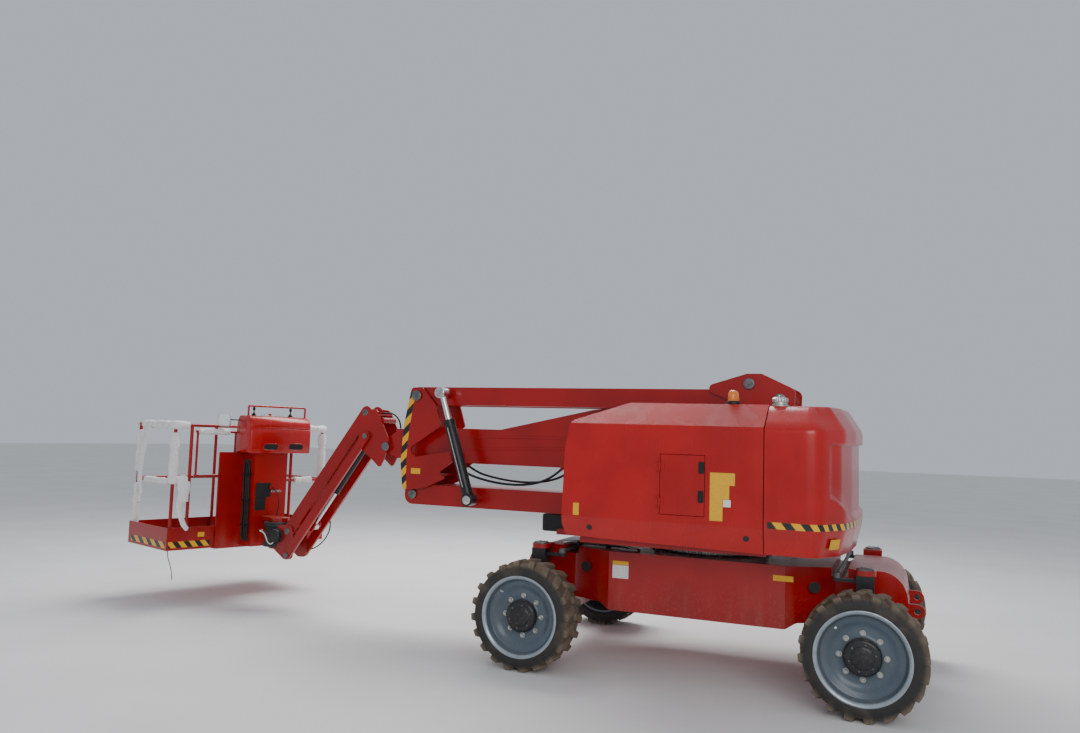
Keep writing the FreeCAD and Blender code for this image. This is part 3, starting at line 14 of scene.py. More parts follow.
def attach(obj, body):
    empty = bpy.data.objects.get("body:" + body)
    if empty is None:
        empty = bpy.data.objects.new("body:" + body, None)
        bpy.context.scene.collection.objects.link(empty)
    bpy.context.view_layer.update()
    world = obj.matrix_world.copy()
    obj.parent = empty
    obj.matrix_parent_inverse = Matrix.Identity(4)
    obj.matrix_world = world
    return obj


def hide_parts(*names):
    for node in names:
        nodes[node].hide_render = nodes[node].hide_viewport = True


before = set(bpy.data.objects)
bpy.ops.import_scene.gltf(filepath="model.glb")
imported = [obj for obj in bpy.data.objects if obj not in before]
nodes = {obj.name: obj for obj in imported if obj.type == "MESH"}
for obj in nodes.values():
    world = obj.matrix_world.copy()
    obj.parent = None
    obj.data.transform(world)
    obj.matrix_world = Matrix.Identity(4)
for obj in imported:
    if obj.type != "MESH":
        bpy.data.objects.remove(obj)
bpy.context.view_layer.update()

# %% [markdown]
# Sizes below are metres in the layout of the machine's drawing, measured from the middle of its
# wheelbase. The frame's origin lies under the middle of the whole machine, so one constant shift
# takes every new piece across. The basket is drawn square and then turned about its drive.

# %% From the drawing to the frame
SHIFT = np.array((-2.297807, 0.083048, -0.000733))
YAW_OF_BASKET = math.radians(-19.0)
DRIVE_X = 4.605


def in_basket(points):
    """A point (u, v, z) of the basket: turned by the basket's yaw about Z, then moved to the drive."""
    u, v, z = np.moveaxis(np.asarray(points, float), -1, 0)
    x = u * math.cos(YAW_OF_BASKET) - v * math.sin(YAW_OF_BASKET) + DRIVE_X
    y = u * math.sin(YAW_OF_BASKET) + v * math.cos(YAW_OF_BASKET)
    return np.stack((x, y, z), axis=-1)


print("basket corner", in_basket((1.449, 0.967, 0.56)).round(3))

# %% [markdown]
# The photograph was taken from the machine's left, a little behind its slewing ring and at eye
# height. The place and the angles were worked out from the wheel circles and the long arms.

# %% Camera
CAMERA_AT = Vector((-3.867722, 7.549829, 1.856911))
YAW = math.radians(23.29)
PITCH = math.radians(4.566)
ROLL = math.radians(1.78)
LENS = 28.745
SENSOR = 36.0


def place_camera():
    data = bpy.data.cameras.new("view")
    data.lens = LENS
    data.sensor_width = SENSOR
    made = bpy.data.objects.new("view", data)
    bpy.context.scene.collection.objects.link(made)
    level = math.cos(PITCH)
    ahead = Vector((math.sin(YAW) * level, -math.cos(YAW) * level, math.sin(PITCH)))
    level_right = ahead.cross(Vector((0, 0, 1))).normalized()
    right = level_right * math.cos(ROLL) + level_right.cross(ahead) * math.sin(ROLL)
    turn = Matrix((right, right.cross(ahead), -ahead)).transposed()
    made.matrix_world = Matrix.Translation(CAMERA_AT) @ turn.to_4x4()
    bpy.context.scene.camera = made


place_camera()

# %% [markdown]
# A material is a small sum: where is dust, where is paint, how rough is it there. Written with
# nodes by hand that sum is hard to read, so a socket is wrapped in a class whose operators add
# the Math nodes. The sum then reads like arithmetic, and colours go through one Mix method.

# %% Shader arithmetic
COAT_ROUGHNESS = 0.12
SPECULAR_LEVEL = 0.35


class Value:
    """A socket on its way through a material; + - * and comparisons add Math nodes."""

    def __init__(self, finish, socket):
        self.finish = finish
        self.socket = socket

    def math(self, kind, *others):
        return self.finish.node("ShaderNodeMath", {"operation": kind}, self, *others)

    def __add__(self, other):
        return self.math("ADD", other)

    def __mul__(self, other):
        return self.math("MULTIPLY", other)

    def __sub__(self, other):
        return self.math("SUBTRACT", other)

    def __rsub__(self, other):
        return self.finish.node("ShaderNodeMath", {"operation": "SUBTRACT"}, other, self)

    def __gt__(self, other):
        return self.math("GREATER_THAN", other)

    def __lt__(self, other):
        return self.math("LESS_THAN", other)

    __radd__ = __add__
    __rmul__ = __mul__

    def fraction(self):
        return self.math("FRACT")

    def size(self):
        return self.math("ABSOLUTE")

    def ramp(self, low, high):
        """0 below low, 1 above high and smooth between."""
        settings = {"interpolation_type": "SMOOTHSTEP"}
        return self.finish.node("ShaderNodeMapRange", settings, self, low, high, 0.0, 1.0)


class Finish:
    """One material. Constants sit on the shader's own sockets; what varies is linked by vary()."""

    def __init__(self, name, colour, roughness, metallic=0.0, coat=0.0):
        self.material = bpy.data.materials.new(name)
        self.material.use_nodes = True
        self.tree = self.material.node_tree
        self.shader = self.tree.nodes["Principled BSDF"]
        self.colour = (*colour, 1.0)
        self.shader.inputs["Base Color"].default_value = self.colour
        self.shader.inputs["Roughness"].default_value = roughness
        self.shader.inputs["Metallic"].default_value = metallic
        self.shader.inputs["Coat Weight"].default_value = coat
        self.shader.inputs["Coat Roughness"].default_value = COAT_ROUGHNESS
        self.shader.inputs["Specular IOR Level"].default_value = SPECULAR_LEVEL
        self.material.diffuse_color = self.colour
        place = self.tree.nodes.new("ShaderNodeTexCoord")
        self.at = Value(self, place.outputs["Object"])

    def node(self, kind, settings, *values, out=0):
        made = self.tree.nodes.new(kind)
        for key, value in settings.items():
            setattr(made, key, value)
        for socket, value in zip(made.inputs, values):
            self.put(socket, value)
        return Value(self, made.outputs[out])

    def put(self, socket, value):
        if isinstance(value, Value):
            self.tree.links.new(value.socket, socket)
        elif value is not None:
            socket.default_value = value

    def noise(self, scale, detail=3.0, stretch=(1.0, 1.0, 1.0)):
        where = self.node("ShaderNodeMapping", {}, self.at, None, None, stretch)
        return self.node("ShaderNodeTexNoise", {}, where, None, scale, detail)

    def split(self, vector=None):
        """The x, y and z of a vector; of the place in the layout, in metres, if none is given."""
        if vector is None:
            shift = {"operation": "SUBTRACT"}
            vector = self.node("ShaderNodeVectorMath", shift, self.at, tuple(SHIFT))
        made = self.tree.nodes.new("ShaderNodeSeparateXYZ")
        self.tree.links.new(vector.socket, made.inputs[0])
        return [Value(self, socket) for socket in made.outputs]

    def facing(self):
        """The x, y and z of the surface's own direction."""
        made = self.tree.nodes.new("ShaderNodeNewGeometry")
        return self.split(Value(self, made.outputs["Normal"]))

    def mix(self, share, first, second):
        """Colour first where share is 0 and second where it is 1."""
        made = self.tree.nodes.new("ShaderNodeMix")
        made.data_type = "RGBA"
        for index, value in ((0, share), (6, first), (7, second)):
            if isinstance(value, tuple) and len(value) == 3:
                value = (*value, 1.0)
            self.put(made.inputs[index], value)
        return Value(self, made.outputs[2])

    def vary(self, **links):
        """Links values to the shader: colour, rough, metal, coat."""
        names = {"colour": "Base Color", "rough": "Roughness", "metal": "Metallic", "coat": "Coat Weight"}
        for key, value in links.items():
            self.tree.links.new(value.socket, self.shader.inputs[names[key]])

    def bump(self, height, strength, distance):
        made = self.tree.nodes.new("ShaderNodeBump")
        made.inputs["Strength"].default_value = strength
        made.inputs["Distance"].default_value = distance
        self.tree.links.new(height.socket, made.inputs["Height"])
        self.tree.links.new(made.outputs["Normal"], self.shader.inputs["Normal"])


print("shader arithmetic ready")

# %% [markdown]
# The red is a thick glossy enamel on steel. From near it is not one colour: it is a little deeper
# in some places, dust lies on faces that look up, road dirt clouds the lower parts, and the gloss
# is broken by fine streaks. All of that comes from noise and from which way a face looks.

# %% Red paint
RED = (0.37, 0.0045, 0.0045)
MOULDED_RED = (0.46, 0.0055, 0.005)
DUST = (0.42, 0.33, 0.24)


def enamel(name, colour, gloss=0.28, dust=0.35, coat=0.25):
    """Paint with clouds of a deeper tone, dust by noise times how far a face looks up, and streaks."""
    finish = Finish(name, colour, gloss, coat=coat)
    x, y, z = finish.split()
    up = finish.facing()[2]
    clouds = finish.noise(2.2, 5.0).ramp(0.35, 0.7)
    streaks = finish.noise(9.0, 4.0, (1.0, 1.0, 0.12)).ramp(0.45, 0.75)
    specks = finish.noise(60.0, 2.0).ramp(0.5, 0.8)
    lying = up.ramp(0.55, 0.95) * (specks * 0.35 + clouds * 0.5 + 0.15) * dust
    splash = (1.0 - z.ramp(0.42, 0.95)) * (streaks * 0.3 + specks * 0.35) * dust
    dirt = (lying + splash).math("MINIMUM", 0.8)
    deep = tuple(0.78 * part for part in colour)
    tone = finish.mix(clouds, finish.colour, (*deep, 1.0))
    finish.vary(colour=finish.mix(dirt, tone, DUST),
                rough=dirt * 0.45 + streaks * 0.06 + gloss,
                coat=(1.0 - dirt) * coat)
    finish.bump(finish.noise(420.0, 1.0), 0.06, 0.0004)
    return finish


red = enamel("red_enamel", RED)
moulded = enamel("red_moulding", MOULDED_RED, gloss=0.25, dust=0.12)
rim_blue = enamel("rim_blue_grey", (0.085, 0.115, 0.145), 0.34, 0.22, 0.2)
black = enamel("black_enamel", (0.018, 0.018, 0.02), 0.42, 0.3, 0.15)
print("paints", RED)

# %% [markdown]
# The other finishes are plain ones: chromed rods with faint draw marks, plated steel for nuts and
# fittings, mill-grey engine paint, black rubber, the pale lamp shell, and labels left blank.

# %% Metals, rubber and labels
def plain(name, colour, roughness, metallic=0.0, coat=0.0, shade=0.25, scale=14.0, grain=0.0,
          stretch=(1, 1, 1)):
    """A colour that noise darkens by a share, with the roughness moved by the same noise."""
    finish = Finish(name, colour, roughness, metallic, coat)
    cloud = finish.noise(scale, 4.0, stretch).ramp(0.3, 0.75)
    fine = finish.noise(scale * 12.0, 2.0, stretch)
    dark = tuple((1.0 - shade) * part for part in colour)
    finish.vary(colour=finish.mix(cloud, finish.colour, (*dark, 1.0)),
                rough=cloud * 0.1 + fine * 0.06 + (roughness - 0.06))
    if grain:
        finish.bump(fine, grain, 0.0006)
    return finish


DRAWN = (1, 1, 0.1)
chrome = plain("rod_chrome", (0.78, 0.78, 0.79), 0.12, 1.0, shade=0.12, stretch=DRAWN)
steel = plain("plated_steel", (0.62, 0.61, 0.58), 0.32, 0.9, shade=0.35, scale=30.0)
dull_steel = plain("dull_steel", (0.20, 0.20, 0.205), 0.5, 0.7, shade=0.4, scale=20.0)
engine_grey = plain("engine_grey", (0.10, 0.105, 0.11), 0.6, 0.1, shade=0.4, scale=9.0,
                    grain=0.3)
black_plastic = plain("black_plastic", (0.014, 0.014, 0.015), 0.45, shade=0.2, scale=25.0,
                      grain=0.25)
hose_black = plain("hose_rubber", (0.016, 0.016, 0.017), 0.5, shade=0.2, scale=40.0, grain=0.15)
amber = plain("amber_lens", (0.85, 0.20, 0.012), 0.18, coat=0.6, shade=0.2)
lamp_shell = plain("lamp_shell", (0.56, 0.58, 0.60), 0.45, shade=0.15)
lens_glass = plain("lens_glass", (0.80, 0.82, 0.84), 0.08, coat=0.8, shade=0.05)
label_yellow = plain("label_yellow", (0.80, 0.42, 0.02), 0.45, shade=0.12, scale=50.0)
label_white = plain("label_white", (0.75, 0.75, 0.73), 0.45, shade=0.12, scale=50.0)
deck_grey = plain("tread_plate", (0.22, 0.21, 0.20), 0.5, 0.6, shade=0.35, scale=30.0,
                  grain=0.4)
print("materials", len(bpy.data.materials))

# %% [markdown]
# Black and yellow bands warn where parts move or stick out: round the tail, up the arm's end
# plates and along the basket's toe boards. A slanted stripe is the fraction of a sum of two
# lengths: one along the band and one up it. On the tail the band turns the corner, so the length
# along it is taken as x plus the size of y, which keeps growing all the way round.

# %% Hazard stripes on the tail
YELLOW = (0.85, 0.42, 0.012)
STRIPE_BLACK = (0.016, 0.015, 0.014)
SCUFFED = 0.12
TAIL_BAND = (1.245, 1.292)
TAIL_STARTS = -0.63


def striped(finish, along, up, pitch, lean):
    """Black where the fraction of (along + lean * up) / pitch is under a half, yellow elsewhere."""
    share = ((along + up * lean) * (1.0 / pitch)).fraction()
    dark = share.ramp(0.47, 0.53)
    scuff = finish.noise(35.0, 4.0).ramp(0.62, 0.8) * SCUFFED
    return finish.mix(scuff, finish.mix(dark, YELLOW, STRIPE_BLACK), DUST)


def inside(value, low, high):
    """1 where the value lies between the two, else 0."""
    return (value > low) * (value < high)


def add_band(finish, mask, colour):
    """Lays a band over the colour that the finish already has, and keeps its gloss."""
    under = finish.shader.inputs["Base Color"].links[0].from_socket
    finish.vary(colour=finish.mix(mask, Value(finish, under), colour))


tail_paint = enamel("tail_enamel", MOULDED_RED, gloss=0.25, dust=0.12)
x, y, z = tail_paint.split()
band = inside(z, *TAIL_BAND) * (x < TAIL_STARTS)
add_band(tail_paint, band, striped(tail_paint, x + y.size(), z, 0.132, -0.8))
print("tail band", TAIL_BAND)

# %% [markdown]
# The toe boards carry the same stripes in two short runs: on the side next to the camera and on
# the side by the entry. They follow the basket's own directions, so x and y are turned first.

# %% Toe boards
NEAR_FACE, ENTRY_FACE = 0.9665, 0.5295
toe_paint = enamel("toe_enamel", RED)
x, y, z = toe_paint.split()
x = x - DRIVE_X
along_u = x * math.cos(YAW_OF_BASKET) + y * math.sin(YAW_OF_BASKET)
along_v = y * math.cos(YAW_OF_BASKET) - x * math.sin(YAW_OF_BASKET)
near_board = (along_v > NEAR_FACE) * inside(along_u, 0.56, 1.38)
entry_board = (along_u < ENTRY_FACE) * inside(along_v, 0.50, 0.95)
boards = (near_board + entry_board).math("MINIMUM", 1.0)
stripes = striped(toe_paint, along_v + along_u * 0.6, z, 0.118, -0.8)
add_band(toe_paint, inside(z, 0.586, 0.648) * boards, stripes)
print("toe boards striped")

# %% [markdown]
# The upright's plates wear a narrow band along their front edge. The edge bows a little, so the
# band is where x lies within 66 mm of a parabola in z.

# %% Upright stripes
BAND_WIDE, PLATE_FACE = 0.066, 0.2525
upright_paint = enamel("upright_enamel", RED)
x, y, z = upright_paint.split()
front_edge = (z - 1.56) * (z - 1.56) * -0.175 + 2.978
strip = inside(z, 1.30, 2.24) * (x - front_edge > -BAND_WIDE) * (y.size() > PLATE_FACE)
add_band(upright_paint, strip, striped(upright_paint, z, x, 0.156, 1.0))
print("upright striped")

# %% [markdown]
# The CAD nodes that no piece replaces show as they are. Most are red; the table lists the rest by
# the start of their names, so the four corners share one line.

# %% Finishes of the carried-over nodes
NODE_FINISH = (
    ("track_rod_", dull_steel), ("steering_post_", black), ("slew_ring", black),
    ("counterweight", tail_paint), ("hood_", moulded), ("control_", moulded),
    ("engine_block", engine_grey), ("fluid_tanks", engine_grey),
    ("beacon", amber), ("tail_dome", dull_steel), ("upright", upright_paint), ("rotary_drive", black),
    ("lift_barrel", black), ("luff_barrel", black), ("jib_barrel", black), ("lift_rod", chrome),
    ("luff_rod", chrome), ("jib_rod", chrome), ("basket_floor", toe_paint), ("work_lamp", lamp_shell),
    ("tyre_", hose_black), ("rim_", rim_blue), ("boom_hose_", hose_black), ("nose_hose", hose_black),
    ("jib_hose", hose_black), ("column_hose", hose_black), ("basket_cord", hose_black),
)


def dress_nodes():
    """Each node takes the first finish whose name it starts with, or the red."""
    for name, node in nodes.items():
        finish = next((made for start, made in NODE_FINISH if name.startswith(start)), red)
        node.data.materials.clear()
        node.data.materials.append(finish.material)


dress_nodes()
print("dressed", len(nodes))

# %% [markdown]
# Most small parts here are skins: rows of points, one ring after another, with a quad between
# neighbours. A ring drawn in to one point closes an end. The points of a whole part are worked
# out as one array, and one function turns any number of such grids into a mesh.

# %% Skins
AHEAD, LEFT, UP = np.eye(3)


def unit(vector):
    vector = np.asarray(vector, float)
    return vector / np.linalg.norm(vector, axis=-1, keepdims=True)


def around(steps, shift=0.0):
    """(cos t, sin t) at even turns t."""
    turn = (np.arange(steps) + shift) * 2 * math.pi / steps
    return np.stack((np.cos(turn), np.sin(turn)), axis=1)


def square_to(axis):
    """The axis at length one, and two directions square to it and to each other."""
    axis = unit(axis)
    side = unit(np.cross(axis, UP if abs(axis[2]) < 0.9 else AHEAD))
    return axis, side, np.cross(axis, side)


def quads(rows, columns, closed=True):
    """Point (i, j) joins its neighbours in the next row and column; a closed grid wraps round."""
    index = np.arange(rows * columns).reshape(rows, columns)
    if closed:
        index = np.hstack((index, index[:, :1]))
    corners = (index[:-1, :-1], index[:-1, 1:], index[1:, 1:], index[1:, :-1])
    return np.stack(corners, axis=-1).reshape(-1, 4)


def skin(name, grids, finish, body, slot, closed=True, sharp=32.0, replaces=()):
    """One mesh from grids of points in the layout; doubles merge, so poles and seams are closed."""
    starts = np.cumsum([0] + [grid.shape[0] * grid.shape[1] for grid in grids])
    points = np.concatenate([grid.reshape(-1, 3) for grid in grids]) + SHIFT
    faces = [quads(*grid.shape[:2], closed) + start for grid, start in zip(grids, starts)]
    mesh = bpy.data.meshes.new(name)
    mesh.from_pydata(points.tolist(), [], np.concatenate(faces).tolist())
    work = bmesh.new()
    work.from_mesh(mesh)
    bmesh.ops.remove_doubles(work, verts=work.verts, dist=1e-5)
    bmesh.ops.recalc_face_normals(work, faces=work.faces)
    work.to_mesh(mesh)
    work.free()
    mesh.polygons.foreach_set("use_smooth", np.ones(len(mesh.polygons), bool))
    mesh.set_sharp_from_angle(angle=math.radians(sharp))
    mesh.materials.append(finish.material)
    made = bpy.data.objects.new(name, mesh)
    bpy.context.scene.collection.objects.link(made)
    if replaces:
        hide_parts(*replaces)
    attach(made, body)
    return made


def capped(rings):
    """Adds a row before the first ring and after the last, with every point at that ring's middle."""
    ends = [np.broadcast_to(ring.mean(axis=0), ring.shape)[None] for ring in (rings[0], rings[-1])]
    return np.concatenate((ends[0], rings, ends[1]))


def spun(profile, centre, axis, steps=32):
    """centre + d * axis + r * (cos t * side + sin t * up) for each (d, r) of a profile."""
    axis, side, up = square_to(axis)
    ring = around(steps) @ np.stack((side, up))
    along, radius = np.array(profile, float).T
    return np.asarray(centre) + along[:, None, None] * axis + radius[:, None, None] * ring


def bolt(centre, axis, across=0.018, height=0.008):
    """A hexagon head: six points round, with its top drawn in a little."""
    r = across / 2
    profile = ((0, r * 0.2), (0, r), (height * 0.8, r), (height, r * 0.84), (height, 0))
    return spun(profile, centre, axis, 6)


def ring_of_bolts(centre, axis, count, pitch_radius, across, height, start=0.0):
    """count heads at even turns round an axis."""
    axis, side, up = square_to(axis)
    turns = start + np.arange(count) * 2 * math.pi / count
    spots = [pitch_radius * (math.cos(t) * side + math.sin(t) * up) for t in turns]
    return [bolt(np.asarray(centre) + spot, axis, across, height) for spot in spots]


def tube(path, radius, across, steps=12):
    """Rings of a radius round each point of a path, square to the path there."""
    ahead = unit(np.gradient(path, axis=0))
    side = unit(np.cross(ahead, across))
    up = np.cross(side, ahead)
    way = around(steps)[None, :, :, None]
    ring = way[:, :, 0] * side[:, None] + way[:, :, 1] * up[:, None]
    radius = np.asarray(radius, float)
    radius = radius[..., None] if radius.ndim == 2 else radius.reshape(-1, 1, 1)
    return capped(path[:, None] + radius * ring)


def softened(points, rounds=4):
    """Each run keeps its points at a quarter and three quarters, again and again: a smooth curve."""
    line = np.array(points, float)
    for _ in range(rounds):
        first, last = line[:-1], line[1:]
        cut = np.stack((0.75 * first + 0.25 * last, 0.25 * first + 0.75 * last), axis=1)
        line = np.vstack((line[:1], cut.reshape(-1, 3), line[-1:]))
    return line


def rounded(width, height, corner, steps=32):
    """A rectangle with round corners: corner centre + corner radius * (cos t, sin t)."""
    way = around(steps, 0.5)
    return np.sign(way) * (np.array((width, height)) / 2 - corner) + corner * way


def slab(centre, across, up, width, height, depth, corner=0.006, edge=0.001):
    """A plate: rounded outlines from its back to its front, the last one drawn in by edge."""
    across, up = unit(across), unit(up)
    out = np.cross(across, up)
    outline = rounded(width, height, corner)
    rows = ((0.0, 0.0), (depth - edge, 0.0), (depth, edge))
    rings = [(outline - np.sign(outline) * draw) @ np.stack((across, up)) + out * lift
             for lift, draw in rows]
    return capped(np.asarray(centre) + np.array(rings))


def label(centre, across, width, height, thick=0.0012, corner=0.003):
    """A thin blank plate, upright, that faces across x up."""
    return slab(centre, across, UP, width, height, thick, corner, 0.0002)


def stacked(outline, middle, draw, rows):
    """One outline at each (height, drawn) of the rows, made smaller by drawn * draw."""
    rings = [np.column_stack((outline * (1 - drawn * draw) + (middle, 0), np.full(len(outline), z)))
             for z, drawn in rows]
    return capped(np.array(rings))


print("skins ready")

# %% [markdown]
# The hoses leave one fitting and come back into another, so they are free cords that sag. A tube
# of mesh would do, but one NURBS curve of order three through the route of the CAD tube stays
# smooth with few points, and its thickness is one number.

# %% Hoses and the hanging lead
def hose(name, points, radius, body):
    """A round curve through the points, in place of the CAD tube of that name."""
    points = np.asarray(points) + SHIFT
    curve = bpy.data.curves.new(name, "CURVE")
    curve.dimensions = "3D"
    curve.bevel_depth = radius
    curve.bevel_resolution = 4
    curve.resolution_u = 12
    curve.use_fill_caps = True
    spline = curve.splines.new("NURBS")
    spline.points.add(len(points) - 1)
    spline.points.foreach_set("co", np.hstack((points, np.ones((len(points), 1)))).ravel())
    spline.order_u = 3
    spline.use_endpoint_u = True
    curve.materials.append(hose_black.material)
    made = bpy.data.objects.new(name + "_line", curve)
    bpy.context.scene.collection.objects.link(made)
    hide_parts(name)
    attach(made, body)


BELLY = np.array(((2.440, 1.535, 0), (2.350, 1.475, 0.3), (2.200, 1.428, 0.8), (1.990, 1.393, 1),
                  (1.770, 1.388, 1), (1.590, 1.418, 0.8), (1.450, 1.480, 0.3), (1.375, 1.545, 0)))


def belly_route(y, move, rise):
    """The belly's line at one y, moved along x and raised by a share that is full in its middle."""
    x, z, share = BELLY.T
    return np.stack((x + move, np.full_like(x, y), z + rise * share), axis=1)


nose_route = [(x, 0.060, z) for x, z in ((3.334, 2.030), (3.240, 2.040), (3.165, 2.005),
                                         (3.120, 1.940), (3.112, 1.8825))]
jib_route = [(x, -0.140, z) for x, z in ((4.0615, 0.8866), (4.0505, 0.8232), (4.0895, 0.7280),
                                         (4.1620, 0.6447), (4.2331, 0.5973), (4.2820, 0.5808))]
column_route = in_basket([(0.222, -0.020, 1.200), (0.165, -0.025, 1.185), (0.125, -0.040, 1.110),
                          (0.125, -0.055, 1.010), (0.160, -0.060, 0.950), (0.175, -0.060, 0.904)])
lead_route = in_basket([(0.549, 0.942, 0.559), (0.547, 0.937, 0.500), (0.537, 0.920, 0.440),
                        (0.535, 0.902, 0.380), (0.543, 0.886, 0.320), (0.549, 0.878, 0.262)])
hose("boom_hose_near", belly_route(0.078, 0.0, 0.0), 0.011, "boom")
hose("boom_hose_far", belly_route(-0.045, -0.060, 0.022), 0.011, "boom")
hose("nose_hose", nose_route, 0.008, "jib_head")
hose("jib_hose", jib_route, 0.0065, "jib_links")
hose("column_hose", column_route, 0.006, "basket")
hose("basket_cord", lead_route, 0.004, "basket")
print("hoses", len(bpy.data.curves))

# %% [markdown]
# The tyres are air-filled and carry two staggered rows of slanted lugs. In the source a lug is a
# block; here the whole tyre is one surface. Its height over the casing is a function of the way
# round and the way across, and the grid is sheared along the lugs, so their edges stay crisp.

# %% Tyres
WHEEL_X, WHEEL_Y, AXLE_Z = 1.270, 0.990, 0.425
CORNERS = (("front_left", 1, 1), ("front_right", 1, -1), ("rear_left", -1, 1), ("rear_right", -1, -1))
CASING = ((0.132, 0.3053), (0.150, 0.311), (0.158, 0.326), (0.1585, 0.346), (0.156, 0.366),
          (0.150, 0.384), (0.136, 0.398), (0.110, 0.4025), (0.0, 0.4035))
LUGS, LUG_TURN, SLANT = 20, math.radians(4.0), math.tan(math.radians(18.0))
LUG_HALF, LUG_HIGH, LUG_FOOT_R = 0.0345, 0.0205, 0.352
TREAD_R, CROWN_R, SHOULDER_Y, WALL_Y, RIB_R = 0.42, 0.4035, 0.13, 0.1575, 0.3525


def smooth_step(value):
    """0 up to 0, 1 from 1 on, and 3 v^2 - 2 v^3 between."""
    value = np.clip(value, 0.0, 1.0)
    return value * value * (3.0 - 2.0 * value)


def walked_along(path):
    """The length walked along a path's points, from 0."""
    return np.concatenate(([0], np.cumsum(np.linalg.norm(np.diff(path, axis=0), axis=1))))


def at_steps(path, steps):
    """The points of a path after the given lengths."""
    walked = walked_along(path)
    return np.stack([np.interp(steps, walked, column) for column in path.T], axis=1)


def casing_line(rows=29):
    """The casing's half section at even steps of its own length, mirrored and closed at the bead."""
    line = np.array(CASING)
    half = at_steps(line, np.linspace(0, walked_along(line)[-1], rows))
    half[1:-1] = (half[:-2] + 2 * half[1:-1] + half[2:]) / 4
    other = half[-2::-1] * (-1, 1)
    return np.vstack((half, other, half[:1]))


def tyre_surface(columns=480):
    """Radius = casing + the lug's height where a lug stands. That is where the way round from its
    middle is under half its width, and its middle trails as the surface nears the wall."""
    line = casing_line()
    y, radius = line[:, :1], line[:, 1:]
    out = np.abs(y)
    turn = (np.arange(columns) * 2 * math.pi / columns)[None]
    pitch = 2 * math.pi / LUGS
    middle = LUG_TURN + np.sign(y) * pitch / 4
    away = (turn - middle + pitch / 2) % pitch - pitch / 2
    raised = smooth_step((LUG_HALF - np.abs(away) * TREAD_R) / 0.009)
    raised = raised * smooth_step((out - 0.003) / 0.007) * smooth_step((WALL_Y - out) / 0.005)
    raised = raised * smooth_step((radius - LUG_FOOT_R) / 0.022)
    top = np.maximum(radius, CROWN_R - 0.12 * np.maximum(out - SHOULDER_Y, 0))
    r = radius + raised * (top + LUG_HIGH - radius)
    rib = 0.0016 * np.exp(-((radius - RIB_R) / 0.0025) ** 2)
    shear = turn - SLANT * (out - 0.08) / TREAD_R
    y = np.broadcast_to(y + np.sign(y) * rib, r.shape)
    return np.stack((r * np.sin(shear), y, r * np.cos(shear)), axis=-1)


def at_wheel(grid, side_x, side_y):
    """A wheel's grid, half a turn round on the far side, at its axle end."""
    return grid * (side_y, side_y, 1) + (side_x * WHEEL_X, side_y * WHEEL_Y, AXLE_Z)


def tread_finish():
    """Dark walls; the lugs carry tan yard dust, more of it the further out a point lies."""
    finish = Finish("tyre_rubber", (0.030, 0.027, 0.025), 0.75)
    out = finish.node("ShaderNodeAttribute", {"attribute_name": "lift"}, out=2)
    cloud = finish.noise(7.0, 5.0)
    fine = finish.noise(70.0, 3.0)
    dusty = (out.ramp(0.15, 0.95) * 0.75 + cloud.ramp(0.5, 0.8) * 0.35) * (fine * 0.7 + 0.45)
    dusty = dusty.math("MINIMUM", 0.85)
    finish.vary(colour=finish.mix(dusty, finish.colour, (0.23, 0.17, 0.115)), rough=dusty * 0.2 + 0.68)
    finish.bump(fine, 0.35, 0.0015)
    return finish


def keep_lift(tyre, side_x, low=0.365, rise=0.058):
    """Each point keeps how far it stands out of the wall, 0 to 1, for the dust."""
    spots = np.empty(len(tyre.data.vertices) * 3)
    tyre.data.vertices.foreach_get("co", spots)
    spots = spots.reshape(-1, 3) - SHIFT - (side_x * WHEEL_X, 0, AXLE_Z)
    lift = np.clip((np.hypot(spots[:, 0], spots[:, 2]) - low) / rise, 0, 1)
    tyre.data.attributes.new("lift", "FLOAT", "POINT").data.foreach_set("value", lift)


tread = tread_finish()
surface = tyre_surface()
for name, side_x, side_y in CORNERS:
    tyre = skin("tyre_skin_" + name, [at_wheel(surface, side_x, side_y)], tread, "wheel_" + name,
                "tyre_rubber", sharp=40.0, replaces=("tyre_" + name,))
    keep_lift(tyre, side_x)
print("tyre points", len(tyre.data.vertices))

# %% [markdown]
# The rim is a turned part, so its section is spun round the axle: flange, drop centre, dished disc
# and the raised ring round the hub. The flange's edge is rubbed bright, eight nuts hold the disc,
# the hub cover is black and the valve looks out between two nuts.

# %% Rims, nuts, hub covers and valves
RIM = ((0.122, 0.0), (0.122, 0.106), (0.118, 0.114), (0.112, 0.122), (0.076, 0.125), (0.069, 0.131),
       (0.064, 0.145), (0.0635, 0.180), (0.066, 0.196), (0.072, 0.212), (0.086, 0.232), (0.094, 0.246),
       (0.097, 0.262), (0.104, 0.275), (0.120, 0.283), (0.144, 0.293), (0.1505, 0.299), (0.153, 0.305),
       (0.1565, 0.309), (0.1575, 0.314), (0.1555, 0.3185), (0.150, 0.319), (0.1335, 0.3050),
       (-0.134, 0.3050), (-0.134, 0.287), (0.072, 0.287), (0.060, 0.262), (0.048, 0.225),
       (0.036, 0.170), (0.0205, 0.125), (0.0205, 0.0))
FLANGE = ((0.140, 0.2905), (0.1465, 0.2935), (0.1525, 0.299), (0.1552, 0.305), (0.1582, 0.309),
          (0.1590, 0.314), (0.1570, 0.3200), (0.1500, 0.3200), (0.1500, 0.315), (0.1520, 0.310),
          (0.1480, 0.302), (0.1400, 0.2905))
HUB = ((0.074, 0.0), (0.074, 0.1262), (0.110, 0.1262), (0.1165, 0.122), (0.1245, 0.114),
       (0.1275, 0.102), (0.1275, 0.080), (0.132, 0.074), (0.137, 0.060), (0.138, 0.0))
STUD = ((0, 0), (0, 0.008), (0.010, 0.008), (0.012, 0.006), (0.012, 0))
SEAT = ((-0.001, 0), (-0.001, 0.022), (0.004, 0.020), (0.004, 0))
